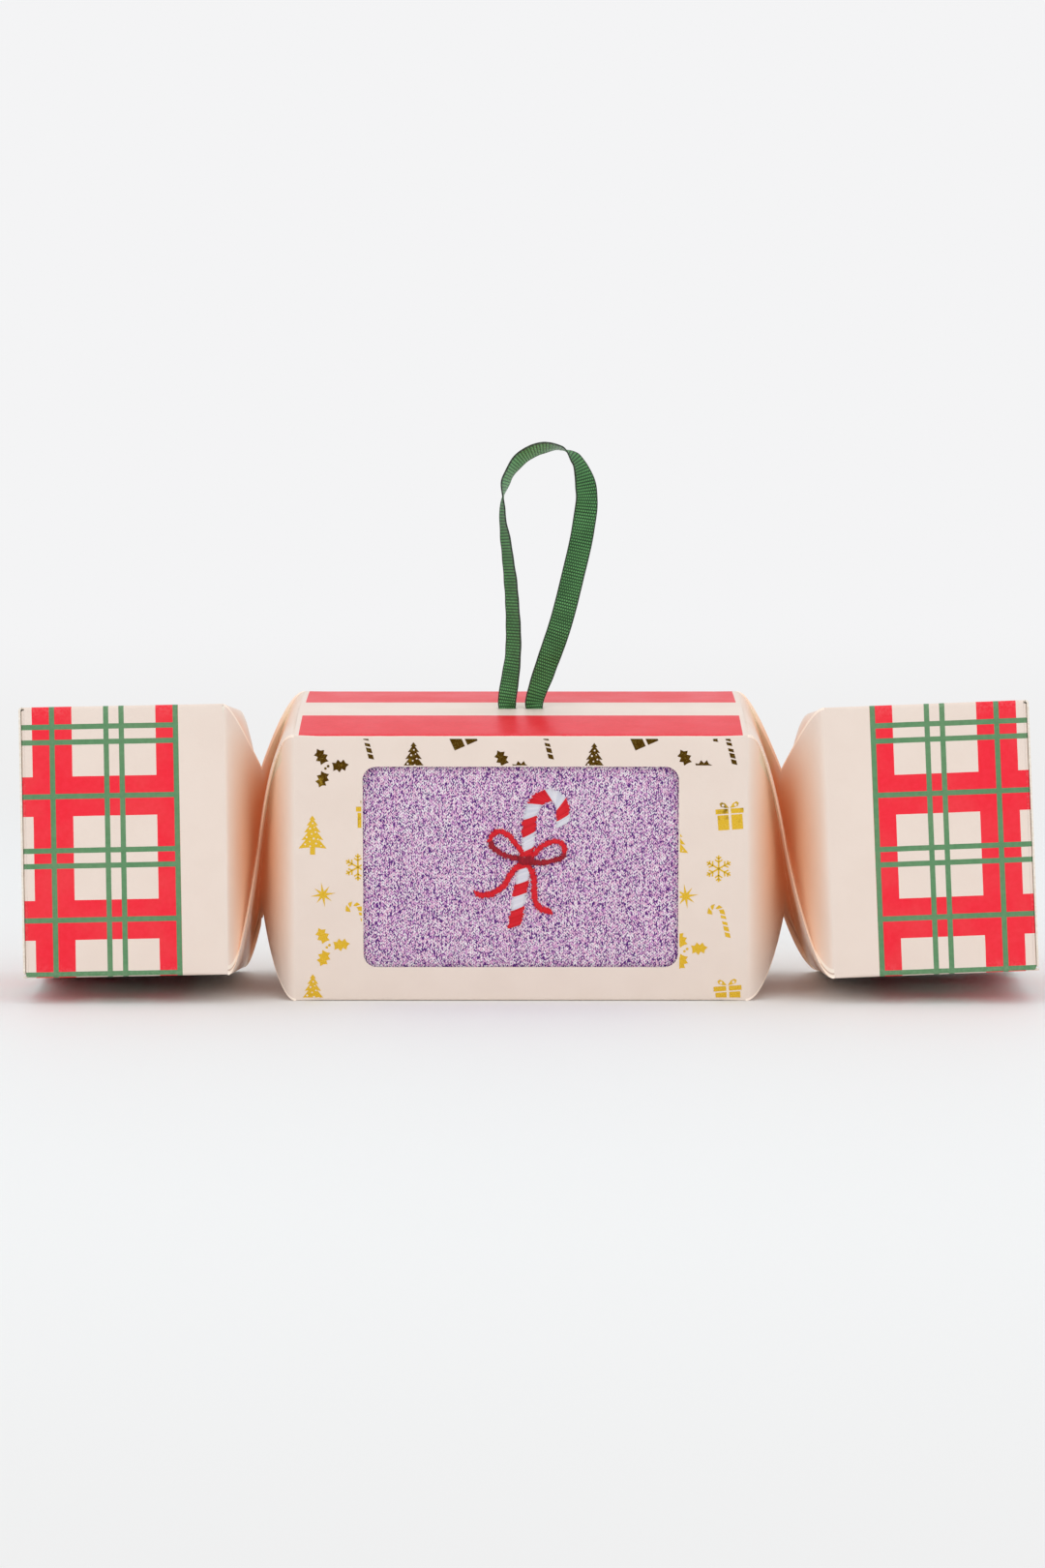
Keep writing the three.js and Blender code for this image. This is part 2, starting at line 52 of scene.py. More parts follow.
# Sizes of the solids that the dressed pieces follow
BOARD, GAP, SIDE = 0.5, 0.3, 69.5
HALF = SIDE / 2
CENTRE_LENGTH, END_LENGTH = 116.0, 52.5
NECK = {-1: 17.7, 1: 21.3}
WAIST_SHIFT = {-1: 1.2, 1: 0.3}
SKEW = {-1: radians(1.1), 1: radians(2.2)}
MIDDLE = -2.1554  # middle of the centre box, from the middle of the whole cracker
CENTRE_HALF, END_HALF = CENTRE_LENGTH / 2, END_LENGTH / 2
TOP_BOW = 1.1
PITCH = radians(5.5)
WAIST, FLARE, VALLEY_PULL = 18.4, 1.8, 1.5
WINDOW_SIZE, WINDOW_RADIUS, WINDOW_RISE = (81.0, 52.5), 3.5, 0.35
INNER = HALF - BOARD
AXIS_HEIGHT = HALF * (cos(PITCH) + sin(PITCH))
END_LIFT = {side: END_HALF * sin(SKEW[side]) for side in (-1, 1)}
END_MIDDLE = {side: MIDDLE + side * (CENTRE_HALF + NECK[side] + END_HALF) for side in (-1, 1)}
LID_INNER = END_HALF - BOARD
LID_DROP = SIDE - BOARD - GAP
TONGUE_REACH, TONGUE_INSET, TONGUE_CORNER, TONGUE_LEAN = 13.2, 3, 4, 6
DUST_OUTER = LID_INNER - GAP
DUST_INNER = DUST_OUTER - BOARD
DUST_REACH, DUST_FOOT, DUST_TAPER = 30, 3, 31
SLIT_SPACING, SLIT_LENGTH, SLIT_WIDTH, SLIT_RADIUS = 7.1, 5.4, 1.0, 0.45
KNOT_DROP, KNOT = 3.2, (12, 5.5, 6)
CREASE = 0.8  # outer radius of a fold
TIGHT_CREASE = 0.3  # the same where a panel meets a neck strip
CREASE_EASE = 6.0  # length over which the one passes into the other
THIN = 0.05  # least inner radius of a fold
DUST_TURN = LID_INNER - 0.05 - CREASE  # where a side wall begins to fold into its dust flap
SIDES = (("left", -1), ("right", 1))
QUARTERS = ("top", "front", "bottom", "back")


def moved(x, y, z):
    return Matrix.Translation((x * MM, y * MM, z * MM))


CENTRE = moved(MIDDLE, 0, AXIS_HEIGHT) @ Matrix.Rotation(PITCH, 4, "X")


def end_place(side):
    return (
        moved(END_MIDDLE[side], 0, AXIS_HEIGHT + END_LIFT[side])
        @ Matrix.Rotation(-SKEW[side], 4, "Y")
        @ Matrix.Rotation(-PITCH, 4, "X"))


# ---------------------------------------------------------------- materials


class Value:
    """The output of a node. Arithmetic on it makes the node that works it out."""

    def __init__(self, nodes, socket):
        self.nodes, self.socket = nodes, socket

    def __add__(self, other):
        return self.nodes.math("ADD", self, other)

    def __sub__(self, other):
        return self.nodes.math("SUBTRACT", self, other)

    def __rsub__(self, other):
        return self.nodes.math("SUBTRACT", other, self)

    def __mul__(self, other):
        return self.nodes.math("MULTIPLY", self, other)

    def __truediv__(self, other):
        return self.nodes.math("DIVIDE", self, other)

    def __pow__(self, other):
        return self.nodes.math("POWER", self, other)

    def __lt__(self, other):
        return self.nodes.math("LESS_THAN", self, other)

    def __gt__(self, other):
        return self.nodes.math("GREATER_THAN", self, other)

    def __abs__(self):
        return self.nodes.math("ABSOLUTE", self)


class Nodes:
    """Short calls for building the node tree of a material or the world."""

    def __init__(self, owner):
        self.owner = bpy.data.materials.new(owner) if isinstance(owner, str) else owner
        self.owner.use_nodes = True
        self.tree = self.owner.node_tree
        self.bsdf = self.tree.nodes.get("Principled BSDF")

    def node(self, kind, *values, **props):
        """A new node with these values in its first inputs."""
        n = self.tree.nodes.new("ShaderNode" + kind)
        for k, v in props.items():
            setattr(n, k, v)
        for socket, v in zip(n.inputs, values):
            self.put(socket, v)
        return n

    def out(self, node, number=0):
        return Value(self, node.outputs[number])

    def put(self, socket, value):
        if isinstance(value, Value):
            self.tree.links.new(value.socket, socket)
        elif isinstance(value, tuple) and socket.type == "RGBA":
            socket.default_value = (*value, 1)
        else:
            socket.default_value = value

    def math(self, op, a, b=0.0, c=0.0):
        return self.out(self.node("Math", a, b, c, operation=op))

    def hump(self, x):
        """Rises from 0 to 1 and falls back to 0 between whole numbers."""
        return self.math("SINE", self.math("FRACT", x) * pi)

    def ramp(self, x, low, high, a=0.0, b=1.0):
        return self.out(self.node("MapRange", x, low, high, a, b, interpolation_type="SMOOTHSTEP"))

    def mix(self, factor, a, b):
        n = self.node("Mix", factor, data_type="RGBA")
        self.put(n.inputs[6], a)
        self.put(n.inputs[7], b)
        return self.out(n, 2)

    def attribute(self, name, number=2):
        return self.out(self.node("Attribute", attribute_name=name), number)

    def split(self, vector):
        n = self.node("SeparateXYZ", vector)
        return [self.out(n, k) for k in range(3)]

    def printed(self):
        """The three numbers that each vertex carries for its print or weave."""
        return self.split(self.attribute("print", 1))

    def join(self, x, y, z=0.0):
        return self.out(self.node("CombineXYZ", x, y, z))

    def scaled(self, vector, scale):
        scale = scale if isinstance(scale, tuple) else (scale,) * 3
        n = self.node("VectorMath", vector, operation="MULTIPLY")
        n.inputs[1].default_value = scale
        return self.out(n)

    def place(self):
        """Place on the object in metres."""
        return self.out(self.node("TexCoord"), "Object")

    def spot(self, scale=1000):
        """Place on the object in millimetres, or stretched by a scale of its own."""
        return self.scaled(self.place(), scale)

    def noise(self, vector, scale, detail=2.0, rough=0.5):
        n = self.node("TexNoise", vector)
        for label, value in (("Scale", scale), ("Detail", detail), ("Roughness", rough)):
            n.inputs[label].default_value = value
        return self.out(n)

    def drift(self, vector, scale, detail, reach):
        """Noise about zero."""
        return (self.noise(vector, scale, detail) - 0.5) * reach

    def white(self, vector, number=1):
        n = self.node("TexWhiteNoise", vector, noise_dimensions="3D")
        return self.out(n, number)

    def bump(self, height, strength, distance):
        n = self.node("Bump", strength, distance)
        self.put(n.inputs["Height"], height)
        return self.out(n)

    def shader(self, colour, rough, normal=None, **sockets):
        """Sets the surface. A socket's name is given with _ for its spaces."""
        self.put(self.bsdf.inputs["Base Color"], colour)
        self.put(self.bsdf.inputs["Roughness"], rough)
        if normal is not None:
            self.put(self.bsdf.inputs["Normal"], normal)
        for k, v in sockets.items():
            self.bsdf.inputs[k.replace("_", " ")].default_value = v
        return self.owner


def srgb(r, g, b):
    return tuple(
        c / 12.92 if c <= 0.04045 else ((c + 0.055) / 1.055) ** 2.4
        for c in (r / 255, g / 255, b / 255))


CREAM = srgb(238, 222, 210)


def board_finish(n, colour, rough=0.42, shine=0.28):
    """Coated board: faint mottle and fibre under the coating, and pale worn folds."""
    spot = n.spot()
    mottle = n.noise(spot, 0.09, 3)
    colour = n.mix(n.ramp(mottle, 0.35, 0.7, 0.0, 0.05), colour, srgb(196, 168, 148))
    worn = n.attribute("fold")
    wear = worn * n.ramp(n.noise(spot, 1.6, 3, 0.65), 0.42, 0.62)
    colour = n.mix(wear * 0.05, colour, srgb(250, 243, 236))
    fibre = n.noise(n.spot((700, 1000, 1000)), 2.2, 4, 0.6)
    normal = n.bump(fibre * 0.35 + n.noise(spot, 0.12, 2), 0.12, 0.0006)
    gloss = wear * 0.2 + n.ramp(mottle, 0.3, 0.7, rough - 0.03, rough + 0.05)
    return n.shader(colour, gloss, normal, Specular_IOR_Level=shine)


def neck_board():
    """Cream board of the necks. Painted warm light: an orange tint and a faint orange glow stand
    for light bounced round the hollows. One long edge has a dull margin near the centre box, and
    the other a bright double line near the end box."""
    n = Nodes("neck_board")
    # Painted warm light: an orange tint, stronger deeper in the hollows, standing for light bounced
    # between the boards.
    warm = n.attribute("warm")
    colour = n.mix(warm, CREAM, srgb(242, 184, 138))
    along, from_one, from_other = n.printed()
    near_centre = n.ramp(along, 0.8, 2.0) * n.ramp(along, 7.4, 6.4)
    near_end = n.ramp(along, -0.5, -2.0)
    dull = n.ramp(from_one, 5.2, 4.8) * near_centre
    bright = n.ramp(from_other, 2.5, 2.3) * near_end
    line = near_end * n.ramp(abs(from_other - 1.15), 0.28, 0.12)
    # Painted highlight along both long edges of each strip, where the strips meet at the ridges; it
    # also glows faintly.
    ridge = n.ramp(n.math("MINIMUM", from_one, from_other), 0.7, 0.4, 0, 0.9)
    colour = n.mix(dull * 0.85, colour, srgb(222, 210, 184))
    colour = n.mix(bright * 0.9, colour, srgb(252, 240, 226))
    colour = n.mix(line * 0.6, colour, srgb(168, 122, 92))
    colour = n.mix(ridge, colour, srgb(254, 246, 234))
    mat = board_finish(n, colour)
    # Painted glow: a faint orange emission with the painted warm light, and a stronger one along
    # the painted highlight of the long edges.
    n.bsdf.inputs["Emission Color"].default_value = (*srgb(255, 164, 112), 1)
    n.put(n.bsdf.inputs["Emission Strength"], warm * 0.062 + ridge * 0.12)
    return mat


def raw_board():
    """Uncoated inside and cut edges."""
    n = Nodes("raw_board")
    spot = n.spot()
    fibre = n.noise(n.spot((350, 1000, 1000)), 1.4, 5, 0.65)
    colour = n.mix(n.ramp(fibre, 0.3, 0.7), srgb(232, 219, 202), srgb(246, 238, 226))
    flecks = n.ramp(n.noise(spot, 3.2), 0.66, 0.72)
    colour = n.mix(flecks * 0.25, colour, srgb(190, 168, 144))
    return n.shader(colour, 0.78, n.bump(fibre, 0.3, 0.0004))


PLAID_PERIOD, PLAID_END = 31.75, 40.9  # of the check, and where it stops from the outer edge
PLAID_START = (8.45, 23.05)  # middle of a red bar, from the outer edge and the front's top edge
RED_HALF, LINE_HALF, PAIR_APART = 5.1, 0.675, 1.975


def plaid_board():
    """Red checks with a green line in the middle and a pair of green lines between them."""
    n = Nodes("plaid_board")
    along, around, _ = n.printed()
    spot = n.spot()
    drift = n.drift(spot, 0.25, 2, 0.08)

    def lines(x, centre):
        away = n.math("PINGPONG", x + drift - centre, PLAID_PERIOD / 2)
        red, middle = away < RED_HALF, away < LINE_HALF
        pair = abs(away - (PLAID_PERIOD / 2 - PAIR_APART)) < LINE_HALF
        return red, n.math("MAXIMUM", middle, pair)

    red_along, green_along = lines(along, PLAID_START[0])
    red_around, green_around = lines(around, PLAID_START[1])
    zone = along < PLAID_END
    red = n.math("MAXIMUM", red_along, red_around) * zone
    green = n.math("MAXIMUM", green_along, green_around) * zone
    ink = n.noise(spot, 0.8, 4, 0.6)
    red_ink = n.mix(n.ramp(ink, 0.3, 0.7), srgb(245, 28, 50), srgb(248, 36, 58))
    green_ink = n.mix(n.ramp(ink, 0.3, 0.7), srgb(88, 138, 94), srgb(96, 146, 102))
    colour = n.mix(green, n.mix(red, CREAM, red_ink), green_ink)
    return board_finish(n, colour, 0.4)


BAND, BAND_INSET = (10.2, 34.5), 1.2  # from the panel's middle line, and short of its ends


def banded_board():
    """The centre's top panel: two red bands along its long edges."""
    n = Nodes("banded_board")
    along, across, _ = n.printed()
    spot = n.spot()
    away = abs(across + n.drift(spot, 0.3, 3, 0.15))
    side = abs(along) < CENTRE_HALF - BAND_INSET
    band = (away > BAND[0]) * (away < BAND[1]) * side
    ink = n.noise(spot, 0.7, 4, 0.6)
    red = n.mix(n.ramp(ink, 0.3, 0.7), srgb(232, 16, 44), srgb(238, 24, 52))
    return board_finish(n, n.mix(band, CREAM, red), 0.36, 0.16)


def foil(dark):
    """Hot-stamped gold foil with a fine grain and painted glints on it. A painted dark reflection
    turns it to a dark bronze higher up the panel.
    """
    n = Nodes("gold_foil")
    spot = n.spot()
    grain = n.noise(spot, 3.5, 3, 0.7)
    height = n.split(spot)[2]
    # Painted dark reflection: darker with height, up to the share given by dark.
    painted_reflection_shade = n.ramp(height + n.drift(spot, 0.45, 2, 26), 14, 25, 0, dark)
    colour = n.mix(painted_reflection_shade, srgb(232, 188, 56), srgb(56, 27, 3))
    # Painted glints: a paler gold on the grain, fainter where the painted dark reflection is.
    painted_glints = n.ramp(grain, 0.5, 0.75, 0, 0.6) * (1 - painted_reflection_shade * 0.6)
    colour = n.mix(painted_glints, colour, srgb(250, 224, 120))
    rough = n.ramp(grain, 0.3, 0.7, 0.22, 0.42)
    return n.shader(colour, rough, n.bump(grain, 0.35, 0.0002), Metallic=1.0)


COURSE = 0.76  # height of a row of stitches; a wale is 1 mm wide


def knit():
    """Plain knit in a lurex yarn: V-shaped stitches in wales and courses."""
    n = Nodes("lilac_knit")
    x, z, _ = n.printed()
    flat = n.join(x, z)
    wobble = n.drift(flat, 0.045, 2, 4.0)
    jitter = n.drift(flat, 0.9, 2, 0.2)
    u = x + wobble + jitter
    v = z + wobble * 0.5 + jitter
    from_foot = abs(n.math("FRACT", u) - 0.5)
    slant = v / COURSE - from_foot * 1.5
    row = n.math("FLOOR", slant)
    body = n.hump(slant)
    side = n.hump(u * 2)
    swell = body ** 0.7 * n.math("MAXIMUM", side, 0.001) ** 0.5
    stitch = n.join(n.math("FLOOR", u * 2), row, 3.0)
    chance = n.split(n.white(stitch))
    part = n.join(n.math("FLOOR", u * 4), n.math("FLOOR", slant * 2), 7.0)
    speck = n.split(n.white(part))
    fine = n.noise(n.scaled(flat, 3.0), 1.2, 3, 0.7)
    yarn = n.mix(chance[0], srgb(214, 156, 212), srgb(246, 196, 222))
    yarn = n.mix(n.ramp(speck[0], 0.6, 0.64), yarn, srgb(255, 242, 250))
    yarn = n.mix(n.ramp(speck[1], 0.34, 0.3), yarn, srgb(92, 34, 126))
    # Painted glints: near-white spots on the stitch crowns, with a lower roughness.
    glint = n.ramp(speck[2], 0.86, 0.88) * n.ramp(swell, 0.4, 0.6)
    yarn = n.mix(glint, yarn, srgb(255, 253, 255))
    # Painted shade: dark purple in the low gaps between the stitches.
    colour = n.mix(n.ramp(swell, 0.04, 0.3), srgb(92, 40, 122), yarn)
    normal = n.bump(swell + fine * 0.3, 0.55, 0.0003)
    return n.shader(colour, 0.72 - glint * 0.45, normal, Specular_IOR_Level=0.3)


def thread(name, colour, other):
    """Shiny embroidery thread; its fine twist runs along the attribute's first number."""
    n = Nodes(name)
    along, across, number = n.printed()
    twist = n.math("SINE", along * 22 + across * 9)
    each = n.white(n.join(n.math("FLOOR", number), 2.0, 5.0), 0)
    base = n.mix(each, colour, other)
    # Painted shade in the troughs of the twist.
    base = n.mix(n.ramp(twist, -1, 1, 0.18, 0), base, tuple(c * 0.4 for c in colour))
    return n.shader(
        base, 0.45, n.bump(twist, 0.3, 0.0001), Specular_IOR_Level=0.3, Anisotropic=0.4)


WEAVE_ROW, FLOATS = 0.8, 5.0  # length of a float, and floats across half the ribbon


def satin(name, low, high, dark, rough):
    """Satin ribbon: staggered short floats across the warp, with painted shade between them and a
    painted highlight on their crests, and darker woven edges.
    """
    n = Nodes(name)
    along, across, _ = n.printed()
    row = along / WEAVE_ROW
    stagger = n.math("MODULO", n.math("FLOOR", row), 2.0) * 0.5
    rib = n.hump(row)
    float_ = n.hump(across * FLOATS + (stagger + 20.0))
    raised = rib ** 0.6 * float_ ** 0.5
    edge = n.ramp(abs(across), 0.87, 0.92)
    cloud = n.noise(n.join(along * 0.3, across), 0.6)
    colour = n.mix(n.ramp(cloud, 0.3, 0.7), low, high)
    # Painted shade between the floats.
    colour = n.mix(n.ramp(raised, 0.3, 0.85, 1.0, 0), colour, dark)
    # Painted highlight on the crests of the floats.
    colour = n.mix(n.ramp(raised, 0.8, 1.0, 0, 0.35), colour, srgb(150, 214, 150))
    colour = n.mix(edge * 0.85, colour, srgb(30, 40, 26))
    return n.shader(
        colour, rough, n.bump(raised, 0.4, 0.00012), Specular_IOR_Level=0.35, Anisotropic=0.5)


cream = board_finish(Nodes("cream_board"), CREAM)
neck_cream = neck_board()
pale_edge = Nodes("pale_edge").shader(srgb(250, 240, 226), 0.6)
raw = raw_board()
plaid = plaid_board()
banded = banded_board()
gold = foil(0.95)
lilac = knit()
red_thread = thread("red_thread", srgb(222, 18, 36), srgb(240, 38, 52))
dark_thread = thread("dark_red_thread", srgb(150, 18, 38), srgb(186, 30, 48))
white_thread = thread("white_thread", srgb(224, 224, 236), srgb(246, 244, 250))
green_satin = satin(
    "green_satin", srgb(56, 120, 56), srgb(76, 144, 76), srgb(16, 52, 22), 0.5)
# A painted lit copy of the green satin, lighter in colour, for the face of the ribbon.
painted_lit_satin = satin(
    "painted_lit_satin", srgb(80, 152, 84), srgb(108, 182, 114), srgb(26, 84, 38), 0.34)


# ---------------------------------------------------------------- mesh making


class Build:
    """Collects vertices with their attributes, and faces with a material number."""

    def __init__(self):
        self.co, self.pr, self.fold, self.warm, self.faces, self.slot = [], [], [], [], [], []

    def add(self, p, pr=(0, 0, 0), fold=0.0, warm=0.0):
        self.co.append(tuple(p))
        self.pr.append(tuple(pr))
        self.fold.append(fold)
        self.warm.append(warm)
        return len(self.co) - 1

    def face(self, corners, slot=0):
        self.faces.append(tuple(corners))
        self.slot.append(slot)

    def grid(self, rows, slot=0, flip=False):
        """rows of vertex numbers."""
        for a, b in zip(rows, rows[1:]):
            for i in range(len(a) - 1):
                q = (a[i], b[i], b[i + 1], a[i + 1])
                self.face(q[::-1] if flip else q, slot)

    def make(self, name, materials, place=None, smooth=35):
        """smooth is the angle in degrees from which an edge stays sharp, 0 for flat faces."""
        mesh = bpy.data.meshes.new(name)
        mesh.from_pydata([tuple(c * MM for c in p) for p in self.co], [], self.faces)
        for m in materials:
            mesh.materials.append(m)
        mesh.polygons.foreach_set("material_index", self.slot)
        a = mesh.attributes.new("print", "FLOAT_VECTOR", "POINT")
        a.data.foreach_set("vector", [c for p in self.pr for c in p])
        for label, values in (("fold", self.fold), ("warm", self.warm)):
            a = mesh.attributes.new(label, "FLOAT", "POINT")
            a.data.foreach_set("value", values)
        mesh.update()
        mesh.validate()
        obj = bpy.data.objects.new(name, mesh)
        bpy.context.scene.collection.objects.link(obj)
        if place is not None:
            obj.matrix_world = place
        if smooth:
            mesh.shade_smooth()
            mesh.set_sharp_from_angle(angle=radians(smooth))
        bpy.context.view_layer.update()
        return obj


def stations(low, high, step):
    count = max(1, round((high - low) / step))
    return [low + (high - low) * i / count for i in range(count + 1)]


def skin(b, rows, edge_slot=1, face_slot=0, back_slot=1):
    """A closed sheet. rows is a grid of (face point, back point, print, fold, painted warm light).
    """
    i, j = len(rows) // 2, len(rows[0]) // 2
    face, back = rows[i][j][:2]
    if (face - rows[i - 1][j][0]).cross(face - rows[i][j - 1][0]).dot(face - back) < 0:
        rows = rows[::-1]
    top = [[b.add(face, pr, fold, warm) for face, _, pr, fold, warm in row] for row in rows]
    under = [[b.add(back, pr, 0, warm) for _, back, pr, _, warm in row] for row in rows]
    b.grid(top, face_slot)
    b.grid(under, back_slot, flip=True)
    last, end = len(rows) - 1, len(rows[0]) - 1
    rim = [(i, 0) for i in range(last + 1)] + [(last, j) for j in range(1, end + 1)]
    rim += [(i, end) for i in range(last)[::-1]] + [(0, j) for j in range(1, end)[::-1]]
    for (i, j), (k, m) in zip(rim, rim[1:] + rim[:1]):
        b.face((top[i][j], under[i][j], under[k][m], top[k][m]), edge_slot)


def turned(quarter, t, n):
    """A panel's own across and outward lengths as y and z of the tube."""
    return [(t, n), (-n, t), (-t, -n), (n, -t)][quarter]


def arc(centre, radius, start, stop, steps=5):
    """(face point, back point, fold) round a fold, angles in degrees."""
    line = []
    for k in range(steps + 1):
        a = radians(start + (stop - start) * k / steps)
        d = (cos(a), sin(a))
        line.append((
            tuple(c + radius * v for c, v in zip(centre, d)),
            tuple(c + max(radius - BOARD, THIN) * v for c, v in zip(centre, d)), 1.0))
    return line


def profile(radius, bow=None, spans=24):
    """(face point, back point, fold) across a panel, from mitre to mitre."""
    low, high = -HALF + radius, HALF - radius
    points = arc((low, high), radius, 135, 90, 4)
    for k in range(1, spans):
        t = low + (high - low) * k / spans
        lift = bow(t) if bow else 0.0
        worn = max(0.0, 1 - min(t - low, high - t) / 1.2)
        points.append(((t, HALF + lift), (t, INNER + lift), worn))
    return points + [((-o[0], o[1]), (-i[0], i[1]), f) for o, i, f in points[4::-1]]


def tube_panel(name, node, place, quarter, x_values, radius_at, around, distance, face, bow=None):
    """One panel of a square tube, folded round half of each of its long creases."""
    rows = [[
        (Vector((x, *turned(quarter, *o))), Vector((x, *turned(quarter, *i))),
         (distance(x), around(o[0]), 0), fold, 0.0)
        for o, i, fold in profile(radius_at(x), bow)] for x in x_values]
    b = Build()
    skin(b, rows)
    obj = b.make(name, [face, raw], place)
    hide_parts(node)
    return obj


def bow_at(t):
    return TOP_BOW * cos(pi / 2 * t / (HALF - CREASE))


# Distance round the tube from the front's top edge, positive down the front
AROUND = [
    lambda t: -(t + HALF), lambda t: HALF - t, lambda t: SIDE + HALF - t,
    lambda t: -SIDE - (t + HALF)]


def near_neck(x, edge):
    """Fold radius: small where the panel meets a neck strip, full further in."""
    return TIGHT_CREASE + (CREASE - TIGHT_CREASE) * min(1.0, max(0.0, edge - x) / CREASE_EASE)


# ---------------------------------------------------------------- centre box

near_ends = [52, 54, 56, 57.2, 58]  # closer together towards the necks
centre_x = [-x for x in near_ends[::-1]] + stations(-48, 48, 8) + near_ends
centre_box = {}
for word, quarter, around, face, bow in (
        ("front", 1, AROUND[1], cream, None), ("back", 3, AROUND[3], cream, None),
        ("bottom", 2, AROUND[2], cream, None), ("top", 0, lambda t: t, banded, bow_at)):
    centre_box[word] = tube_panel(
        f"centre_{word}_board", f"{word}_panel", CENTRE, quarter, centre_x,
        lambda x: near_neck(abs(x), CENTRE_HALF), around, lambda x: x, face, bow)


def rounded(width, height, radius, x=0.0, z=0.0, steps=8):
    points = []
    for cx, cz, start in ((1, 1, 0), (-1, 1, 90), (-1, -1, 180), (1, -1, 270)):
        for k in range(steps + 1):
            a = radians(start + 90 * k / steps)
            points.append((
                x + cx * (width / 2 - radius) + radius * cos(a),
                z + cz * (height / 2 - radius) + radius * sin(a)))
    return points


def prism(points, low, high, upright):
    """A solid with this outline, from low to high along y if upright, or else along z."""
    b = Build()
    ends = [
        [b.add((p, depth, q) if upright else (p, q, depth)) for p, q in points]
        for depth in (low, high)]
    for i in range(len(points)):
        j = (i + 1) % len(points)
        q = (ends[0][i], ends[0][j], ends[1][j], ends[1][i])
        b.face(q[::-1] if upright else q)
    b.face(ends[0] if upright else ends[0][::-1])
    b.face(ends[1][::-1] if upright else ends[1])
    return b.make("tool", [raw], CENTRE, 0)


def cut(obj, solid):
    """Takes the solid's volume out of obj and removes the solid."""
    change = obj.modifiers.new("cut", "BOOLEAN")
    change.operation, change.solver, change.object = "DIFFERENCE", "EXACT", solid
    bpy.context.view_layer.objects.active = obj
    bpy.context.view_layer.update()
    with bpy.context.temp_override(object=obj, active_object=obj, selected_objects=[obj]):
        bpy.ops.object.modifier_apply(modifier="cut")
    bpy.data.objects.remove(solid, do_unlink=True)
    obj.data.shade_smooth()
    obj.data.set_sharp_from_angle(angle=radians(35))


window = rounded(*WINDOW_SIZE, WINDOW_RADIUS, 0, WINDOW_RISE)
cut(centre_box["front"], prism(window, -HALF - 2, -INNER + 2, True))
for side in (-1, 1):
    slit = rounded(SLIT_LENGTH, SLIT_WIDTH, SLIT_RADIUS, side * SLIT_SPACING / 2, 0, 4)
    cut(centre_box["top"], prism(slit, INNER - 2, HALF + 4, False))
for panel in centre_box.values():
    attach(panel, "centre")

# ---------------------------------------------------------------- twisted necks


def flare(u):
    return 1 - (1 - abs(u)) ** FLARE


def strip_point(u, v):
    """A strip's section: u from -1 at the end box to 1 at the centre box, v from ridge to ridge."""
    reach = copysign(1, u) * HALF * flare(u)
    ridge = WAIST + (HALF - WAIST) * flare(u)
    a, b, c = (-ridge, reach), (reach, ridge), (reach, reach)
    wa, wc, wb = (1 - v) ** 2, 2 * v * (1 - v) * VALLEY_PULL, v * v
    s = wa + wb + wc
    return tuple((a[k] * wa + c[k] * wc + b[k] * wb) / s for k in (0, 1))


def neck_frame(side, u):
    share = (1 + u) / 2
    start = Vector((MIDDLE + side * CENTRE_HALF, 0, AXIS_HEIGHT))
    finish = Matrix.Rotation(-SKEW[side], 3, "Y") @ Vector((-side * END_HALF, 0, 0))
    finish += Vector((END_MIDDLE[side], 0, AXIS_HEIGHT + END_LIFT[side]))
    place = finish.lerp(start, share)
    place.x += side * WAIST_SHIFT[side] * (1 - u * u)
    turn = Matrix.Rotation(-SKEW[side] * (1 - share), 4, "Y")
    turn = turn @ Matrix.Rotation(PITCH * (2 * share - 1), 4, "X")
    return Matrix.Translation(place) @ turn


STRIP_PRINT = 9.75  # half a neck's length, as the print on its strips counts it
MITRE_LIMIT = 2.2


def neck_strip(name, node, side, quarter, steps=56, spans=26, nudge=1e-3):
    def point(u, v, face=quarter):
        return neck_frame(side, u) @ Vector((0, *turned(face, *strip_point(u, v))))

    def outward(u, v, face=quarter):
        along = point(min(u + nudge, 1), v, face) - point(max(u - nudge, -1), v, face)
        across = point(u, min(v + nudge, 1), face) - point(u, max(v - nudge, 0), face)
        return across.cross(along).normalized() * side

    rows = []
    for i in range(steps + 1)[::-side]:
        s = -1 + 2 * i / steps
        u = s * (1.3 - 0.3 * abs(s))  # sections closer together near the creases
        row = []
        for v in (j / spans for j in range(spans + 1)):
            p, way = point(u, v), outward(u, v)
            lift = (BOARD + 0.02) * (1 - abs(u) ** 3) * (1 - (4 * v * (1 - v)) ** 3)
            if v in (0, 1):  # mitred with the next strip at the ridge
                other = outward(u, 1 - v, (quarter + (1 if v == 0 else 3)) % 4)
                middle = (way + other).normalized()
                way = middle * min(MITRE_LIMIT, 1 / max(0.1, middle.dot(way)))
            pr = (u * STRIP_PRINT, (p - point(u, 1)).length, (p - point(u, 0)).length)
            worn = max(0.0, 1 - min(v, 1 - v) / 0.02, 1 - (1 - abs(u)) / 0.06)
            # How deep a place lies in the waist; it sets the painted warm light of the hollows.
            depth = (1 - abs(u)) ** 0.9 * (1 - abs(2 * v - 1) ** 5)
            row.append((
                p + way * lift, p + way * (lift - BOARD), pr, worn, min(1.0, 1.15 * depth)))
        rows.append(row)
    b = Build()
    skin(b, rows, 2)
    obj = b.make(name, [neck_cream, raw, pale_edge])
    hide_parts(node)
    return obj


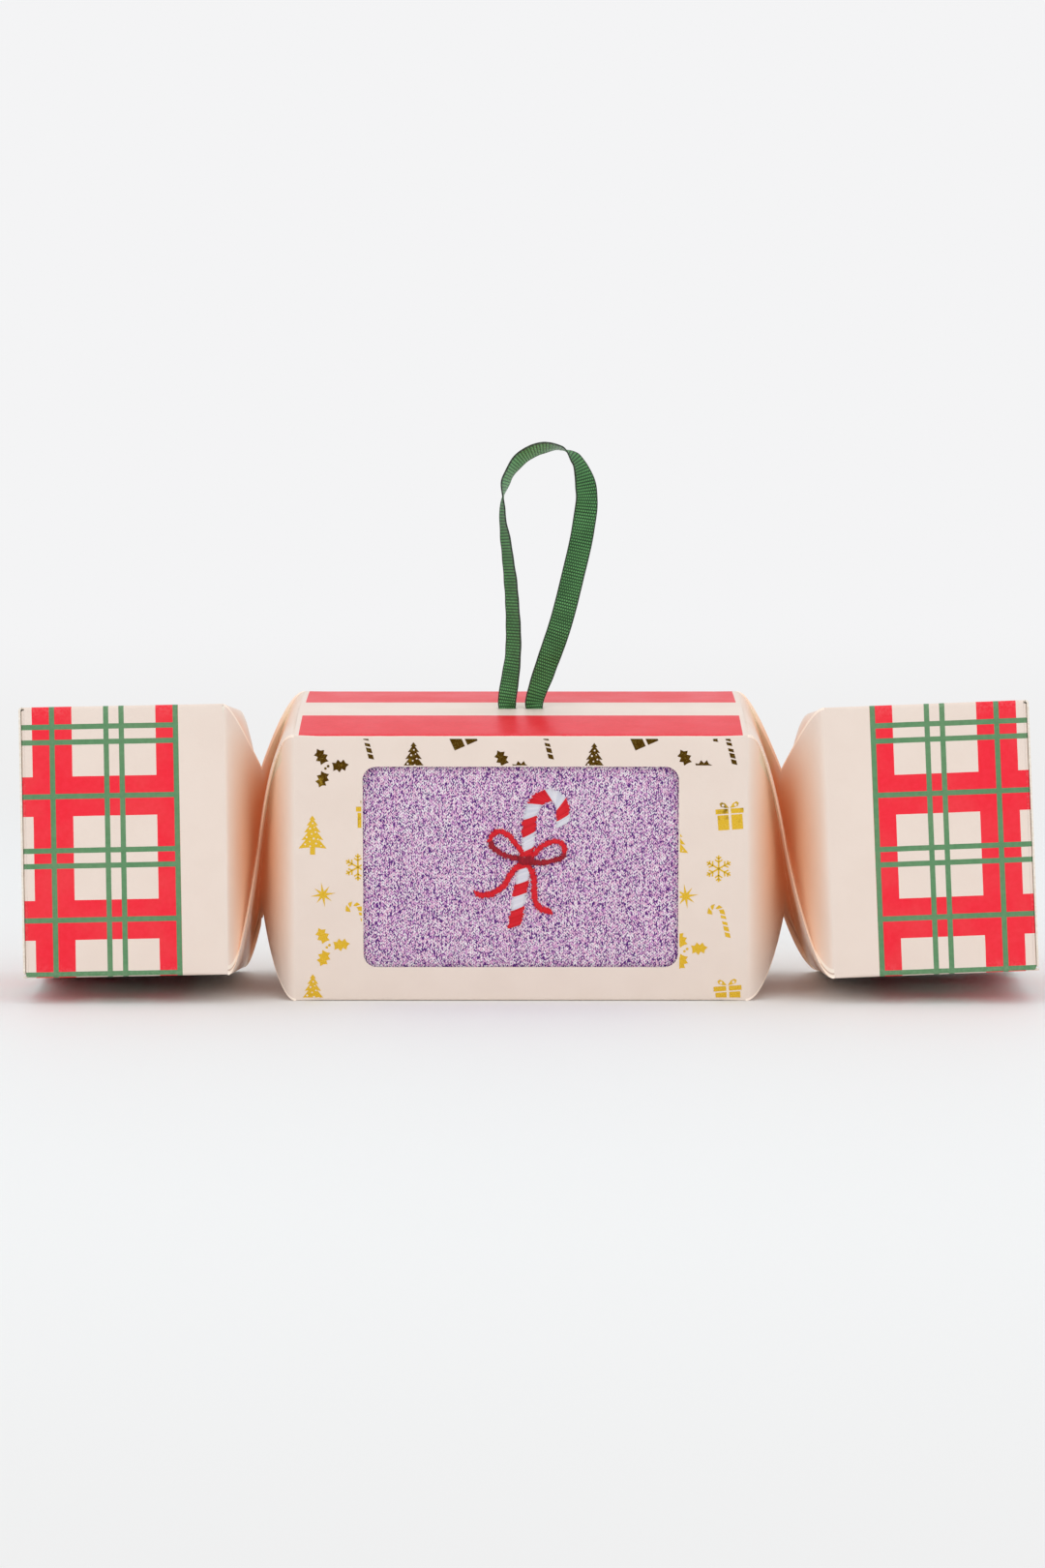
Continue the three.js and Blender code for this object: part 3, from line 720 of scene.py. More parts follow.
for label, side in SIDES:
    ends = [MIDDLE + side * (CENTRE_HALF + reach) for reach in (0, NECK[side])]
    for quarter, word in enumerate(QUARTERS):
        strip = neck_strip(
            f"{label}_neck_board_{word}", f"{label}_neck_strip_{word}", side, quarter)
        ends[0] * MM
        ends[1] * MM
        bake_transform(strip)

# ---------------------------------------------------------------- end boxes

END_STATIONS = (-26.25, -25.6, -24.4, -22.4, -20.2, -16, -11, -6, -1, 4, 9, 14, 19)
# How far out each panel reaches, in the order of QUARTERS
END_REACH = (DUST_OUTER - 0.1, DUST_TURN - 0.03, END_HALF, DUST_TURN - 0.03)

for label, side in SIDES:
    for quarter, word in enumerate(QUARTERS):
        xs = [side * x for x in (*END_STATIONS, END_REACH[quarter])][::side]
        panel = tube_panel(
            f"{label}_end_board_{word}", f"{label}_end_{word}", end_place(side), quarter, xs,
            lambda x: near_neck(-side * x, END_HALF), AROUND[quarter],
            lambda x: END_HALF - side * x, plaid)
        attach(panel, f"{label}_end")

# ---------------------------------------------------------------- lids, tongues and dust flaps


def folded(name, node, place, path, across, at, face, body, printed):
    """A flap that begins in a rolled fold. path gives (face point, back point, fold) along it,
    and at places those two-number points in the box for each step across the flap."""
    rows = [[
        (Vector(at(t, o)), Vector(at(t, i)), printed(t, k, o), fold, 0.0)
        for k, (o, i, fold) in enumerate(path(t))] for t in across]
    b = Build()
    skin(b, rows)
    obj = b.make(name, [face, raw], place)
    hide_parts(node)
    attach(obj, body)


def lid(label, side):
    place, body = end_place(side), f"{label}_lid"
    lip, low = END_HALF - CREASE, HALF - LID_DROP + CREASE

    def at(y, p):
        return side * p[0], y, p[1]

    def path(_):
        line = arc((lip, HALF - CREASE), CREASE, 90, 0)
        for z in stations(HALF - CREASE, low, 6)[1:-1]:
            line.append(((END_HALF, z), (LID_INNER, z), 0.0))
        return line + arc((lip, low), CREASE, 0, -45, 3)

    folded(
        f"{label}_lid_board", f"{label}_lid", place, path, stations(-HALF + 0.05, HALF - 0.05, 6),
        at, plaid, body, lambda y, _, p: (p[1] - HALF, -(y + HALF), 0))

    lean, wide, corner = radians(TONGUE_LEAN), INNER - TONGUE_INSET, TONGUE_CORNER

    def tuck(y):
        line = arc((lip, low), CREASE, -45, -90 - TONGUE_LEAN, 3)
        over = max(0.0, abs(y) - (wide - corner))
        reach = TONGUE_REACH - (corner - sqrt(max(corner ** 2 - over * over, 0)))
        (ox, oz), (ix, iz), _ = line[-1]
        dx, dz = -cos(lean), sin(lean)
        for k in range(1, 9):
            d = reach * k / 8
            line.append(((ox + dx * d, oz + dz * d), (ix + dx * d, iz + dz * d), 0.0))
        return line

    edge = [wide - corner + corner * sin(radians(15 * k)) for k in range(7)]
    across = [-v for v in edge[::-1]] + stations(-wide + corner, wide - corner, 7)[1:-1] + edge
    folded(
        f"{label}_tongue_board", f"{label}_lid_tongue", place, tuck, across, at, cream, body,
        lambda *_: (0, 0, 0))


DUST_ROOT, DUST_TIP = HALF - 1.7, HALF - 0.15 - DUST_REACH  # past the fold, and the free edge
BARE = 60  # a print length beyond the end of the plaid


def dust_flap(label, side, toward, word):
    foot, crown = -HALF + (BOARD + GAP) + DUST_FOOT, HALF - BOARD - GAP
    slope = DUST_REACH * tan(radians(DUST_TAPER))

    def path(_):
        line = arc((DUST_TURN, HALF - CREASE), CREASE, 90, 0)
        line.append(((DUST_OUTER + 0.2, HALF - 1.6), (DUST_INNER + 0.2, HALF - 1.6), 0.5))
        for d in stations(DUST_ROOT, DUST_TIP, 5):
            line.append(((DUST_OUTER, d), (DUST_INNER, d), 0.0))
        return line

    def height(share, p):
        deep = min(1.0, max(0.0, (HALF - p[1]) / DUST_REACH))
        low = foot + 2 * deep - 3.6 * max(0.0, 1 - deep * 18)  # the fold reaches further down
        high = crown - slope * deep
        return low + (high - low) * share

    def at(share, p):
        return side * p[0], -toward * p[1], height(share, p)

    def printed(share, k, p):
        if k > 6:  # past the fold the flap is bare
            return BARE, 0, 0
        z = height(share, p)
        return 0.9 - k * 0.25, HALF - z if toward > 0 else z - HALF - SIDE, 0

    folded(
        f"{label}_dust_board_{word}", f"{label}_dust_flap_{word}", end_place(side), path,
        stations(0, 1, 0.05), at, plaid, f"{label}_dust_{word}", printed)


for label, side in SIDES:
    lid(label, side)
    dust_flap(label, side, 1, "front")
    dust_flap(label, side, -1, "back")

for name in ("glue_flap", "left_end_glue_flap", "right_end_glue_flap"):
    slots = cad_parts[name].data.materials
    slots.clear()
    slots.append(raw)

# ---------------------------------------------------------------- socks

SOCK_FACE = -INNER + 1.4  # a little behind the window
SOCK_SIZE = {"front": (106.0, 28.0, 66.0), "back": (106.0, 30.0, 60.0)}
SOCK_Z = {which: -INNER + GAP + size[2] / 2 for which, size in SOCK_SIZE.items()}
OUTLINE, CROWN = 8, 6.5  # exponents of a pad's outline and of its crowned faces


def swell(x, z):
    """Gentle waves of the folded knit, inwards in mm."""
    slow = noise.noise(Vector((x * 0.035, z * 0.05, 3.1)))
    quick = noise.noise(Vector((x * 0.12, z * 0.09, 8.4)))
    return -1.2 + 0.12 * slow + 0.05 * quick


def crowned(u, v):
    """How much of a pad's crown is used up at this place of its face, 1 at the outline."""
    return (abs(u) ** OUTLINE + abs(v) ** OUTLINE) ** (CROWN / OUTLINE)


def sock_y(x, z):
    """The front sock's face, in the centre box's own y."""
    w, d, h = SOCK_SIZE["front"]
    rim = crowned(x / (w / 2), (z - SOCK_Z["front"]) / (h / 2))
    face = max(0.0, 1 - rim) ** (1 / CROWN)
    return SOCK_FACE + d / 2 - face * d / 2 + swell(x, z)


GROOVE, GROOVE_FROM, GROOVE_FULL = 0.035, 0.9, 0.08  # depth, where it begins, and over how much


def sock(which, y_front, layers, counts):
    """A crowned pad from six grids, grooved round its rim between the folded layers."""
    w, d, h = SOCK_SIZE[which]

    def place(p):
        s = (crowned(p[0], p[2]) + abs(p[1]) ** CROWN) ** (-1 / CROWN)
        x, y, z = p[0] * s * w / 2, p[1] * s * d / 2, p[2] * s * h / 2
        rim = max(abs(x) / (w / 2), abs(z) / (h / 2))
        side_share = min(1.0, max(0.0, (rim - GROOVE_FROM) / GROOVE_FULL))
        groove = abs(sin(pi * (y / d + 0.5) * layers)) ** 0.45
        pull = 1 - side_share * (1 - groove) * GROOVE
        x, z = x * pull, z * pull
        if y < -d * 0.3:
            y += swell(x, z + SOCK_Z[which])
        return x, y + y_front + d / 2, z + SOCK_Z[which]

    b = Build()
    for axis in (1, 0, 2):
        one, two = (k for k in range(3) if k != axis)
        for sign in (-1, 1):
            rows = []
            for i in range(counts[one] + 1):
                row = []
                for j in range(counts[two] + 1):
                    p = [sign] * 3
                    p[one], p[two] = -1 + 2 * i / counts[one], -1 + 2 * j / counts[two]
                    q = place(p)
                    row.append(b.add(q, (q[0 if axis else 1], q[1 if axis == 2 else 2], 0)))
                rows.append(row)
            b.grid(rows, 0, (sign > 0) == (axis == 1))
    obj = b.make(f"sock_{which}_knit", [lilac], CENTRE, 0)
    weld = bmesh.new()
    weld.from_mesh(obj.data)
    bmesh.ops.remove_doubles(weld, verts=weld.verts, dist=2e-6)
    weld.to_mesh(obj.data)
    weld.free()
    obj.data.shade_smooth()
    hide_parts(f"sock_{which}")
    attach(obj, "centre")


sock("front", SOCK_FACE, 6, (130, 30, 80))
sock("back", SOCK_FACE + SOCK_SIZE["front"][1] + GAP, 7, (44, 24, 28))

# ---------------------------------------------------------------- embroidery

CANE = [
    (-1.6, -15.1), (-1.0, -11.9), (-0.5, -8), (0.1, -4.5), (0.7, -1), (1.4, 2.5), (1.9, 6.6),
    (2.1, 10.6), (2.6, 14.3), (4.0, 17.2), (6.2, 18.8), (8.4, 18.9), (10.0, 17.4), (10.8, 14.9),
    (10.9, 11.3)]
BOW_LINES = [
    [(1.4, 2.4), (3.2, 3.6), (4.8, 5.3), (6.8, 6.6), (8.9, 7), (10.7, 6.2), (11.3, 4.6),
     (10.7, 2.9), (9, 2.1), (6.4, 1.6), (3.6, 1.5), (1.4, 2.4)],
    [(1.4, 2.4), (0.2, 4.5), (-1.2, 6.3), (-2.6, 8), (-4.1, 9.2), (-5.8, 9.6), (-7.2, 8.8),
     (-7.8, 7.1), (-7.2, 5.4), (-5.5, 4.1), (-3.6, 3.2), (-1.4, 2.6), (1.4, 2.4)],
    [(1.4, 2.4), (-0.4, 0.6), (-1.7, -0.3), (-2.8, -1.8), (-3.8, -3.8), (-5.3, -5.4),
     (-7.2, -6.6), (-9.3, -7), (-11.8, -6.7)],
    [(1.4, 2.4), (2, 0.6), (2.9, -1), (3.4, -3.4), (3.5, -6), (3.6, -8.2), (4.5, -10),
     (6, -11), (7.9, -11.4)],
]
STITCH_PITCH = 0.3
THREAD_SECTION = ((-1, -0.12), (-0.6, 0.08), (0, 0.14), (0.6, 0.08), (1, -0.12))


def spline(points, step):
    """Points every step mm along a smooth line, as (x, z, length so far, direction)."""
    pts = [Vector(p) for p in points]
    pts = [2 * pts[0] - pts[1]] + pts + [2 * pts[-1] - pts[-2]]
    dense = []
    for i in range(1, len(pts) - 2):
        a, b, c, d = pts[i - 1:i + 3]
        for k in range(24):
            t = k / 24
            dense.append(0.5 * (
                2 * b + (c - a) * t + (2 * a - 5 * b + 4 * c - d) * t * t
                + (3 * b - a - 3 * c + d) * t ** 3))
    dense.append(pts[-2])
    out, length, goal = [], 0.0, 0.0
    for p, q in zip(dense, dense[1:]):
        piece = (q - p).length
        while goal <= length + piece:
            out.append((p.lerp(q, (goal - length) / piece), goal, (q - p).normalized()))
            goal += step
        length += piece
    return out, length


def strand(b, a, c, rise, base, width, slot, number, steps=8):
    """One thread laid over the knit from a to c, arched in the middle."""
    along, length = (c - a).normalized(), (c - a).length
    wide = Vector((-along.y, along.x)) * width / 2
    rows = []
    for k in range(steps + 1):
        t = k / steps
        p = a.lerp(c, t)
        lift = base + rise * max(0.0, sin(pi * t)) ** 0.55
        if k in (0, steps):  # its ends dip into the knit
            lift = -0.25
        row = []
        for s, up in THREAD_SECTION:
            q = p + wide * s
            row.append(b.add((q.x, sock_y(q.x, q.y) - lift - up, q.y), (t * length, s, number)))
        rows.append(row)
    b.grid(rows, slot)


def satin_stitch(b, line, width, slant, rise, base, slot_of, ragged):
    """Threads side by side along a line. slant is in degrees, and slot_of gives a thread's
    material from its length along the line and the whole length."""
    slant = radians(slant)
    points, total = spline(line, STITCH_PITCH)
    for number, (p, s, d) in enumerate(points):
        across = Vector((-d.y, d.x))
        lean = across * cos(slant) + d * sin(slant)
        half = width / 2 / cos(slant)
        one, two = (half + rng.uniform(-ragged, ragged) for _ in range(2))
        a, c = p + lean * one, p - lean * two
        if c.x < a.x:
            a, c = c, a
        strand(b, a, c, rise, base, STITCH_PITCH * 1.35, slot_of(s, total), number)


# Where the cane's colour changes, as lengths from its foot
STRIPES = (4.65, 8.1, 11.7, 15.6, 20.2, 24.1, 28.7, 32.6, 36.8, 40.8, 44.6)

b = Build()
satin_stitch(
    b, CANE, 3.6, -30, 0.45, 0.12, lambda s, total: sum(s > edge for edge in STRIPES) % 2, 0.3)
cane_stitching = b.make("cane_stitching", [red_thread, white_thread], CENTRE, 60)
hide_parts("embroidered_cane")
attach(cane_stitching, "centre")

KNOT_X, KNOT_Z = BOW_LINES[0][0]
b = Build()
for line in BOW_LINES[:2]:  # the loops, dark where they turn back behind the knot
    satin_stitch(b, line, 1.35, -32, 0.34, 0.3, lambda s, total: int(s > total * 0.55), 0.28)
for line in BOW_LINES[2:]:
    satin_stitch(b, line, 1.5, -32, 0.34, 0.3, lambda s, total: 0, 0.28)
for k, (dx, dz) in enumerate(((0.0, 0.25), (0.35, -0.35), (-0.2, 0.0))):
    x, z = KNOT_X + dx, KNOT_Z + dz
    line = [(x - 1.5, z), (x, 2.45 + dz), (x + 1.5, z)]
    satin_stitch(b, line, 2.4, 0.0, 0.4, 0.55 + 0.12 * k, lambda s, total: min(k, 1), 0.2)
for k in range(4):  # a small white spot on the knot
    a = Vector((0.45, 2.2 + 0.28 * k))
    strand(b, a, a + Vector((0.95, 0.12)), 0.3, 0.75, STITCH_PITCH, 2, k)
bow_stitching = b.make("bow_stitching", [red_thread, dark_thread, white_thread], CENTRE, 60)
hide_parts("embroidered_bow")
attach(bow_stitching, "centre")

# ---------------------------------------------------------------- ribbon

# The loop's route from the middle between the slits: x, y, z and the ribbon's turn in degrees
LOOP = [
    (-1.9, 0.0, 15, -50), (-2.4, -0.2, 31, -57), (-3.6, -0.4, 42, -64), (-4.7, -0.4, 52, -78),
    (-3.6, -0.2, 60, -112), (0.4, 0.0, 65.6, -124), (5.4, 0.2, 68, -120),
    (10.4, 0.4, 68, -100), (14.5, 0.5, 65, -62), (17.1, 0.5, 57, -24), (16.3, 0.4, 47, 2),
    (13.6, 0.3, 34.6, 8), (10.3, 0.2, 21.8, 4), (6.4, 0.1, 10.6, -20)]
RIBBON_WIDTH, RIBBON_THICK = 6.0, 0.34


def ribbon_route():
    """(place, turn in degrees, width) from one end under the panel to the other."""
    def over(x, depth):
        return CENTRE @ Vector((x * MM, 0, (HALF + TOP_BOW + depth) * MM)) / MM

    def foot(side, depth, turn=0.0, width=4.4):
        return over(side * SLIT_SPACING / 2, depth), turn, width

    middle = over(0, 0)
    under = -BOARD - KNOT_DROP + GAP
    route = [foot(-1, under), foot(-1, -BOARD / 2), foot(-1, 2, -20, 5)]
    route += [(middle + Vector((x, y, z)), turn, RIBBON_WIDTH) for x, y, z, turn in LOOP]
    return route + [foot(1, 2, -20, 5), foot(1, -BOARD / 2), foot(1, under)]


def centripetal(points, t):
    """Place on a smooth curve through the points, t from 0 to 1."""
    last = len(points) - 1
    p = last * t
    i = min(int(p), last - 1)
    w = p - i

    def at(k):
        if 0 <= k <= last:
            return points[k]
        return 2 * points[0] - points[1] if k < 0 else 2 * points[last] - points[last - 1]

    p0, p1, p2, p3 = (at(i + k) for k in (-1, 0, 1, 2))
    d0, d1, d2 = ((q - r).length ** 0.5 for q, r in ((p1, p0), (p2, p1), (p3, p2)))
    t1 = ((p1 - p0) / d0 - (p2 - p0) / (d0 + d1) + (p2 - p1) / d1) * d1
    t2 = ((p2 - p1) / d1 - (p3 - p1) / (d1 + d2) + (p3 - p2) / d2) * d1
    return (
        p1 + t1 * w + (-3 * p1 + 3 * p2 - 2 * t1 - t2) * w * w
        + (2 * p1 - 2 * p2 + t1 + t2) * w ** 3)


def ribbon(steps=360, spans=12, nudge=1e-3):
    route = ribbon_route()
    points = [r[0] for r in route]
    last = len(route) - 1
    path, rows, length = [], [], 0.0
    for i in range(steps + 1):
        t = i / steps
        k = min(int(t * last), last - 1)
        share = t * last - k
        ease = share * share * (3 - 2 * share)
        turn, width = (
            route[k][m] + (route[k + 1][m] - route[k][m]) * ease for m in (1, 2))
        turn = radians(turn)
        p = centripetal(points, t)
        ahead, behind = (
            centripetal(points, min(max(t + step, 0), 1)) for step in (nudge, -nudge))
        tangent = (ahead - behind).normalized()
        depth = (Vector((0, 1, 0)) - tangent * tangent.y).normalized()
        across = depth.cross(tangent).normalized() * cos(turn) + depth * sin(turn)
        normal = across.cross(tangent).normalized()
        length += (p - path[-1]).length if path else 0.0
        path.append(p)
        row = []
        for j in range(spans + 1):
            s = -1 + 2 * j / spans
            curl = 0.16 * (s * s - 0.4) + 0.05 * sin(length * 1.1 + s)
            q = p + across * (s * width / 2) + normal * curl
            half = RIBBON_THICK / 2 * (1.15 if abs(s) > 0.85 else 1.0)  # thicker woven edges
            row.append((q - normal * half, q + normal * half, (length, s, 0), 0.0, 0.0))
        rows.append(row)
    b = Build()
    skin(b, rows, 0, 1, 0)
    # The ribbon's face takes the painted lit copy of the satin, its back and edges the green satin.
    obj = b.make("ribbon_satin", [green_satin, painted_lit_satin], None, 50)
    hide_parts("ribbon_loop")
    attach(obj, "centre")
    tuple(path[0] * MM)
    length * MM
    [tuple(p * MM) for p in path[::4]]


ribbon()

# Tilt and swing in degrees, and width, of each wrap of the knot from the inside out
WRAPS = ((0, 0, 3.2), (38, 24, 2.8), (-42, -18, 2.8))


def knot():
    """Overhand knot of the two ribbon tails, under the top panel."""
    b = Build()
    middle = Vector((0, 0, INNER + TOP_BOW - KNOT_DROP - KNOT[2] / 2))
    half = Vector([k / 2 for k in KNOT])
    for ring, (tilt, swing, wide) in enumerate(WRAPS):
        turn = Matrix.Rotation(radians(swing), 3, "Z")
        turn = turn @ Matrix.Rotation(radians(tilt), 3, "Y")
        rows = []
        for a in (2 * pi * i / 40 for i in range(41)):
            row = []
            for s in (-1 + j / 3 for j in range(7)):
                d = turn @ Vector((s * wide / 2 / half.x, cos(a), sin(a)))
                fit = 1 / sqrt(max(d.length_squared, 1e-6))
                lift = 0.86 + 0.05 * ring - 0.05 * s * s
                row.append(b.add(
                    middle + Vector([d[k] * fit * half[k] * lift for k in range(3)]),
                    (a * 4, s, 0)))
            rows.append(row)
        b.grid(rows, 0)
    rows = []
    for u in (2 * pi * i / 24 for i in range(25)):
        row = []
        for v in (pi * (j / 12 - 0.5) for j in range(13)):
            d = Vector((cos(v) * cos(u), cos(v) * sin(u), sin(v)))
            row.append(b.add(
                middle + Vector([d[k] * half[k] * 0.84 for k in range(3)]), (u * 4, v / 2, 0)))
        rows.append(row)
    b.grid(rows, 0)
    obj = b.make("ribbon_knot_wraps", [green_satin], CENTRE, 50)
    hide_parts("ribbon_knot")
    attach(obj, "centre")


knot()

# ---------------------------------------------------------------- gold foil motifs

# Each motif gives its outlines and the bare holes in them, as (x, z) about its own middle.


def circle(x, z, r, count=14):
    return [(x + r * cos(2 * pi * k / count), z + r * sin(2 * pi * k / count))
            for k in range(count)]


def stroke(x0, z0, x1, z1, wide):
    d = Vector((x1 - x0, z1 - z0)).normalized() * wide / 2
    return [(x0 + d.y, z0 - d.x), (x1 + d.y, z1 - d.x), (x1 - d.y, z1 + d.x), (x0 - d.y, z0 + d.x)]


def tree():
    half = [
        (0, 5.3), (0.8, 4.2), (0.35, 4.2), (1.45, 2.7), (0.75, 2.75), (2.1, 0.9), (1.2, 1.0),
        (2.8, -1.1), (1.7, -0.95), (3.6, -3.3), (0.65, -3.0), (0.65, -4.9)]
    outline = half + [(-x, z) for x, z in half[::-1] if x > 0]
    dots = [
        (0.1, 3.3, 0.22), (-0.6, 1.9, 0.26), (0.5, 2.2, 0.16), (0.8, 1.0, 0.22), (-0.2, 0.5, 0.2),
        (-1.5, -0.3, 0.26), (0.3, -0.7, 0.26), (1.4, -0.9, 0.2), (-0.7, -1.5, 0.18),
        (-1.9, -2.2, 0.24), (0.9, -2.0, 0.24), (-0.6, -2.7, 0.22), (2.2, -2.6, 0.18)]
    return [outline], [circle(*d, 10) for d in dots]


def holly():
    half = [(2.6, 0), (1.8, 0.55), (1.45, 1.5), (0.65, 0.85), (-0.05, 1.7), (-0.65, 0.85),
            (-1.6, 1.1), (-1.45, 0.3)]
    leaf = half + [(x, -z) for x, z in half[:0:-1]]
    shapes = []
    for angle, reach in ((118, 2.9), (8, 3.0), (-112, 3.0)):
        a = radians(angle)
        shapes.append([(
            x * cos(a) - z * sin(a) + reach * cos(a),
            x * sin(a) + z * cos(a) + reach * sin(a)) for x, z in leaf])
    shapes += [circle(0.25, 0.35, 0.36, 10), circle(-0.45, -0.25, 0.34, 10)]
    return shapes, []


def box(x0, z0, x1, z1):
    return [(x0, z0), (x1, z0), (x1, z1), (x0, z1)]


def gift():
    shapes = [box(-3.2, -3.6, -0.35, 0.3), box(0.35, -3.6, 3.2, 0.3),
              box(-3.6, 0.65, -0.35, 1.9), box(0.35, 0.65, 3.6, 1.9)]
    loop = [(0.15, 2.1), (1.0, 2.15), (2.2, 2.5), (2.5, 3.3), (1.9, 3.7), (1.0, 3.3)]
    shapes += [loop, [(-x, z) for x, z in loop[::-1]]]
    return shapes, [circle(1.6, 2.85, 0.35, 8), circle(-1.6, 2.85, 0.35, 8)]


def flake():
    shapes = []
    for k in range(6):
        a = radians(60 * k + 30)
        c, s = cos(a), sin(a)
        shapes.append(stroke(0, 0, 3.5 * c, 3.5 * s, 0.42))
        for reach, twig in ((1.7, 1.15), (2.6, 0.8)):
            for side in (-1, 1):
                e = a + side * radians(55)
                shapes.append(stroke(
                    reach * c, reach * s, reach * c + twig * cos(e),
                    reach * s + twig * sin(e), 0.36))
    return shapes, []


def burst():
    points = []
    for k in range(16):
        r = (3.3 if k % 4 == 0 else 2.8) if k % 2 == 0 else 0.9
        a = radians(22.5 * k + 8)
        points.append((r * cos(a), r * sin(a)))
    return [points], []


def cane():
    line, total = spline([
        (-1.0, -4.6), (-0.4, -1.6), (0.1, 1.2), (0.3, 2.6), (-0.3, 3.9), (-1.6, 4.3),
        (-2.6, 3.5), (-2.8, 2.4)], 0.42)
    shapes = []
    for (p, s, d), (q, _, e) in zip(line, line[1:]):
        if s % 1.55 < 1.05:
            a, c, slip = Vector((-d.y, d.x)) * 0.62, Vector((-e.y, e.x)) * 0.62, d * 0.32
            shapes.append([
                tuple(p - a - slip), tuple(q - c - slip), tuple(q + c + slip),
                tuple(p + a + slip)])
    return shapes, []


def clip(points, nx, nz, d):
    """Keeps the part of a polygon where nx * x + nz * z <= d."""
    out = []
    for p, q in zip(points, points[1:] + points[:1]):
        a, c = nx * p[0] + nz * p[1] - d, nx * q[0] + nz * q[1] - d
        if a <= 0:
            out.append(p)
        if a * c < 0:
            t = a / (a - c)
            out.append((p[0] + (q[0] - p[0]) * t, p[1] + (q[1] - p[1]) * t))
    return out


MOTIFS = {"holly": holly, "cane": cane, "tree": tree, "gift": gift, "flake": flake, "burst": burst}
FRONT_LAYOUT = [
    ("holly", -49.5, 26.4, 0), ("cane", -39.3, 33.2, 26), ("tree", -27.4, 27.7, 0),
    ("gift", -15.4, 35.4, 24), ("holly", -3.4, 26.0, 0), ("cane", 6.7, 33.2, 26),
    ("tree", 18.8, 27.5, 0), ("gift", 30.8, 35.4, 24), ("holly", 43.4, 26.2, 0),
    ("cane", 53.6, 31.8, 26), ("tree", -53.4, 8.6, 0), ("burst", -50.8, -6.8, 0),
    ("holly", -49.5, -20.4, 0), ("tree", -53.6, -33.0, 0), ("gift", -38.6, 14.3, 0),
    ("flake", -41.8, 0.4, 0), ("cane", -40.6, -12.6, 26), ("gift", 53.6, 13.8, 4),
    ("flake", 50.8, 0.0, 0), ("tree", 39.4, 7.4, 0), ("burst", 42.4, -7.2, 0),
    ("cane", 52.4, -13.4, 24), ("holly", 42.6, -21.4, 0), ("gift", 53.4, -32.7, 4)]
FOIL_EDGE = 0.9  # the print stops this far from the panel's edges
WINDOW_EDGE = (40.85, 26.95)  # and here beside and above the window
WINDOW_NEAR, WINDOW_HIGH = 45, 20  # motifs within this reach are trimmed, the higher ones above
FOIL_RISE, BARE_RISE, FOIL_DEPTH = 0.035, 0.055, 0.02

def stamp(b, shapes, place, low, high, slot, limits):
    """Thin plates of foil, or of bare board inside them, proud of the panel's face."""
    c, s, x0, z0 = place
    for shape in shapes:
        points = [(x * c - z * s + x0, x * s + z * c + z0) for x, z in shape]
        for limit in limits:
            points = clip(points, *limit)
        area = sum(p[0] * q[1] - q[0] * p[1] for p, q in zip(points, points[1:] + points[:1]))
        if len(points) < 3 or abs(area) < 0.02:
            continue
        if area < 0:
            points.reverse()
        front, rear = ([b.add((x, y, z)) for x, z in points] for y in (low, high))
        b.face(front, slot)
        b.grid([front + front[:1], rear + rear[:1]], slot)


def motifs(name, layout, face, window):
    """Foil on the panel whose face is at y = face; layout is (motif, x, z, turn)."""
    b = Build()
    out = -1 if face < 0 else 1
    across, up = CENTRE_HALF - FOIL_EDGE, HALF - FOIL_EDGE
    for kind, x, z, turn in layout:
        x = -x if out > 0 else x
        limits = [(0, 1, up), (0, -1, up), (1, 0, across), (-1, 0, across)]
        if window and abs(x) < WINDOW_NEAR:
            if z > WINDOW_HIGH:
                limits.append((0, -1, -WINDOW_EDGE[1]))
            else:
                limits.append((1 if x < 0 else -1, 0, -WINDOW_EDGE[0]))
        a = radians(turn)
        place = (cos(a), sin(a), x, z)
        for slot, (shapes, rise) in enumerate(zip(MOTIFS[kind](), (FOIL_RISE, BARE_RISE))):
            stamp(b, shapes, place, face + out * rise, face - out * FOIL_DEPTH, slot, limits)
    if out > 0:
        b.faces = [q[::-1] for q in b.faces]
    obj = b.make(name, [gold, cream], CENTRE, 0)
    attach(obj, "centre")


motifs("front_foil", FRONT_LAYOUT, -HALF, True)
BACK_START, BACK_STEP, BACK_STAGGER = (-50.5, -28.6), (12.6, 11.5), (-2.6, 3.4)
order = list(MOTIFS)
back_layout = [
    (order[(k + 2 * r + r // 3) % 6], BACK_START[0] + BACK_STEP[0] * k + BACK_STAGGER[r % 2],
     BACK_START[1] + BACK_STEP[1] * r, 8 * ((k * 7 + r * 5) % 5 - 2))
    for r in range(6) for k in range(9)]
motifs("back_foil", back_layout, HALF, False)

# ---------------------------------------------------------------- camera, light and floor

